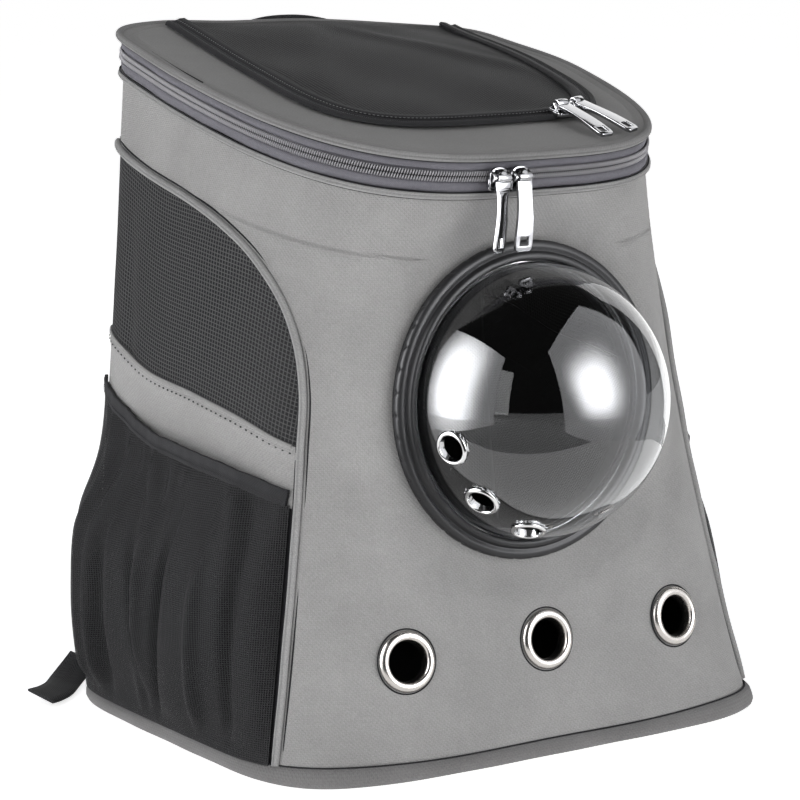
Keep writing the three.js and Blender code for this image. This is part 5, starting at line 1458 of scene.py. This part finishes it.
def area(name, loc, target, size, power, color=(1, 1, 1), glossy=False, size_y=None):
    l = bpy.data.lights.new(name, "AREA")
    l.shape, l.size, l.energy, l.color = "RECTANGLE", size, power, color
    l.size_y = size_y or size
    o = bpy.data.objects.new(name, l)
    bpy.context.scene.collection.objects.link(o)
    o.location = loc
    o.rotation_euler = (Vector(target) - Vector(loc)).to_track_quat("-Z", "Y").to_euler()
    o.visible_glossy = glossy
    return o


area("key_left", (-1.9, -0.75, 0.75), (0, 0, 0.2), 1.3, 16)
area("fill_right", (1.0, -1.9, 0.6), (0, 0, 0.2), 1.3, 11)


def softbox(name, corners, dist, edge, core, core_at, core_size):
    """A glowing panel that only reflections see: bright in the middle, dimmer towards its rim."""
    dirs = unit(np.array(corners, float))
    c = unit(dirs.mean(0))
    o0 = np.array([-4.5, -114.3, 209.3]) / 1000
    P = np.array([o0 + d * (dist / (d @ c)) for d in dirs])
    m = bpy.data.materials.new(name + "_mat")
    m.use_nodes = True
    nt_ = m.node_tree
    for n_ in list(nt_.nodes):
        nt_.nodes.remove(n_)
    out_ = nt_.nodes.new("ShaderNodeOutputMaterial")
    em = nt_.nodes.new("ShaderNodeEmission")
    tc = nt_.nodes.new("ShaderNodeTexCoord")
    cd = unit(np.array(core_at, float))
    cp = o0 + cd * (dist / (cd @ c))
    upv = unit(np.array([0, 0, 1.0]) - c * c[2])
    rt = np.cross(c, upv)
    dots = []
    for ax_, sz in ((rt, core_size[0]), (upv, core_size[1])):
        vs = nt_.nodes.new("ShaderNodeVectorMath")
        vs.operation = "SUBTRACT"
        nt_.links.new(tc.outputs["Object"], vs.inputs[0])
        vs.inputs[1].default_value = tuple(cp)
        vd = nt_.nodes.new("ShaderNodeVectorMath")
        vd.operation = "DOT_PRODUCT"
        nt_.links.new(vs.outputs[0], vd.inputs[0])
        vd.inputs[1].default_value = tuple(ax_ / sz)
        sq = nt_.nodes.new("ShaderNodeMath")
        sq.operation = "POWER"
        ab = nt_.nodes.new("ShaderNodeMath")
        ab.operation = "ABSOLUTE"
        nt_.links.new(vd.outputs["Value"], ab.inputs[0])
        nt_.links.new(ab.outputs[0], sq.inputs[0])
        sq.inputs[1].default_value = 2.6
        dots.append(sq.outputs[0])
    add = nt_.nodes.new("ShaderNodeMath")
    add.operation = "ADD"
    nt_.links.new(dots[0], add.inputs[0])
    nt_.links.new(dots[1], add.inputs[1])
    ng = nt_.nodes.new("ShaderNodeMath")
    ng.operation = "MULTIPLY"
    ng.inputs[1].default_value = -1.0
    nt_.links.new(add.outputs[0], ng.inputs[0])
    ex = nt_.nodes.new("ShaderNodeMath")
    ex.operation = "EXPONENT"
    nt_.links.new(ng.outputs[0], ex.inputs[0])
    ma = nt_.nodes.new("ShaderNodeMath")
    ma.operation = "MULTIPLY_ADD"
    nt_.links.new(ex.outputs[0], ma.inputs[0])
    ma.inputs[1].default_value, ma.inputs[2].default_value = core, edge
    nt_.links.new(ma.outputs[0], em.inputs["Strength"])
    em.inputs["Color"].default_value = (0.97, 0.975, 1.0, 1)
    nt_.links.new(em.outputs[0], out_.inputs[0])
    o = stage_mesh(name, P, [tuple(range(len(P)))], m)
    o.visible_camera = o.visible_diffuse = o.visible_shadow = o.visible_volume_scatter = False
    return o


softbox("box_left", [(-0.395, 0.715, 0.576), (-0.662, -0.336, 0.669), (-0.896, -0.408, -0.175), (-0.67, 0.673, -0.314)], 1.25, 1.5, 15, (-0.86, 0.20, 0.22), (0.42, 0.75))
softbox("box_right", [(0.497, -0.066, 0.865), (-0.199, -0.637, 0.745), (-0.135, -0.95, -0.281), (0.79, -0.434, -0.433), (0.859, -0.084, 0.505)], 1.25, 1.4, 15, (0.30, -0.90, 0.24), (0.46, 0.5))

def panel(name, corners, strength):
    m = bpy.data.materials.new(name + "_mat")
    m.use_nodes = True
    t_ = m.node_tree
    for n_ in list(t_.nodes):
        t_.nodes.remove(n_)
    o_ = t_.nodes.new("ShaderNodeOutputMaterial")
    e_ = t_.nodes.new("ShaderNodeEmission")
    e_.inputs["Strength"].default_value = strength
    t_.links.new(e_.outputs[0], o_.inputs[0])
    o = stage_mesh(name, corners, [tuple(range(len(corners)))], m)
    o.visible_camera = o.visible_diffuse = o.visible_shadow = o.visible_transmission = o.visible_volume_scatter = False


panel("backdrop", [(0.3, 2.4, -0.4), (2.8, 0.6, -0.4), (2.8, 0.6, 2.6), (0.3, 2.4, 2.6)], 1.6)

bpy.context.scene.view_settings.view_transform = "Standard"
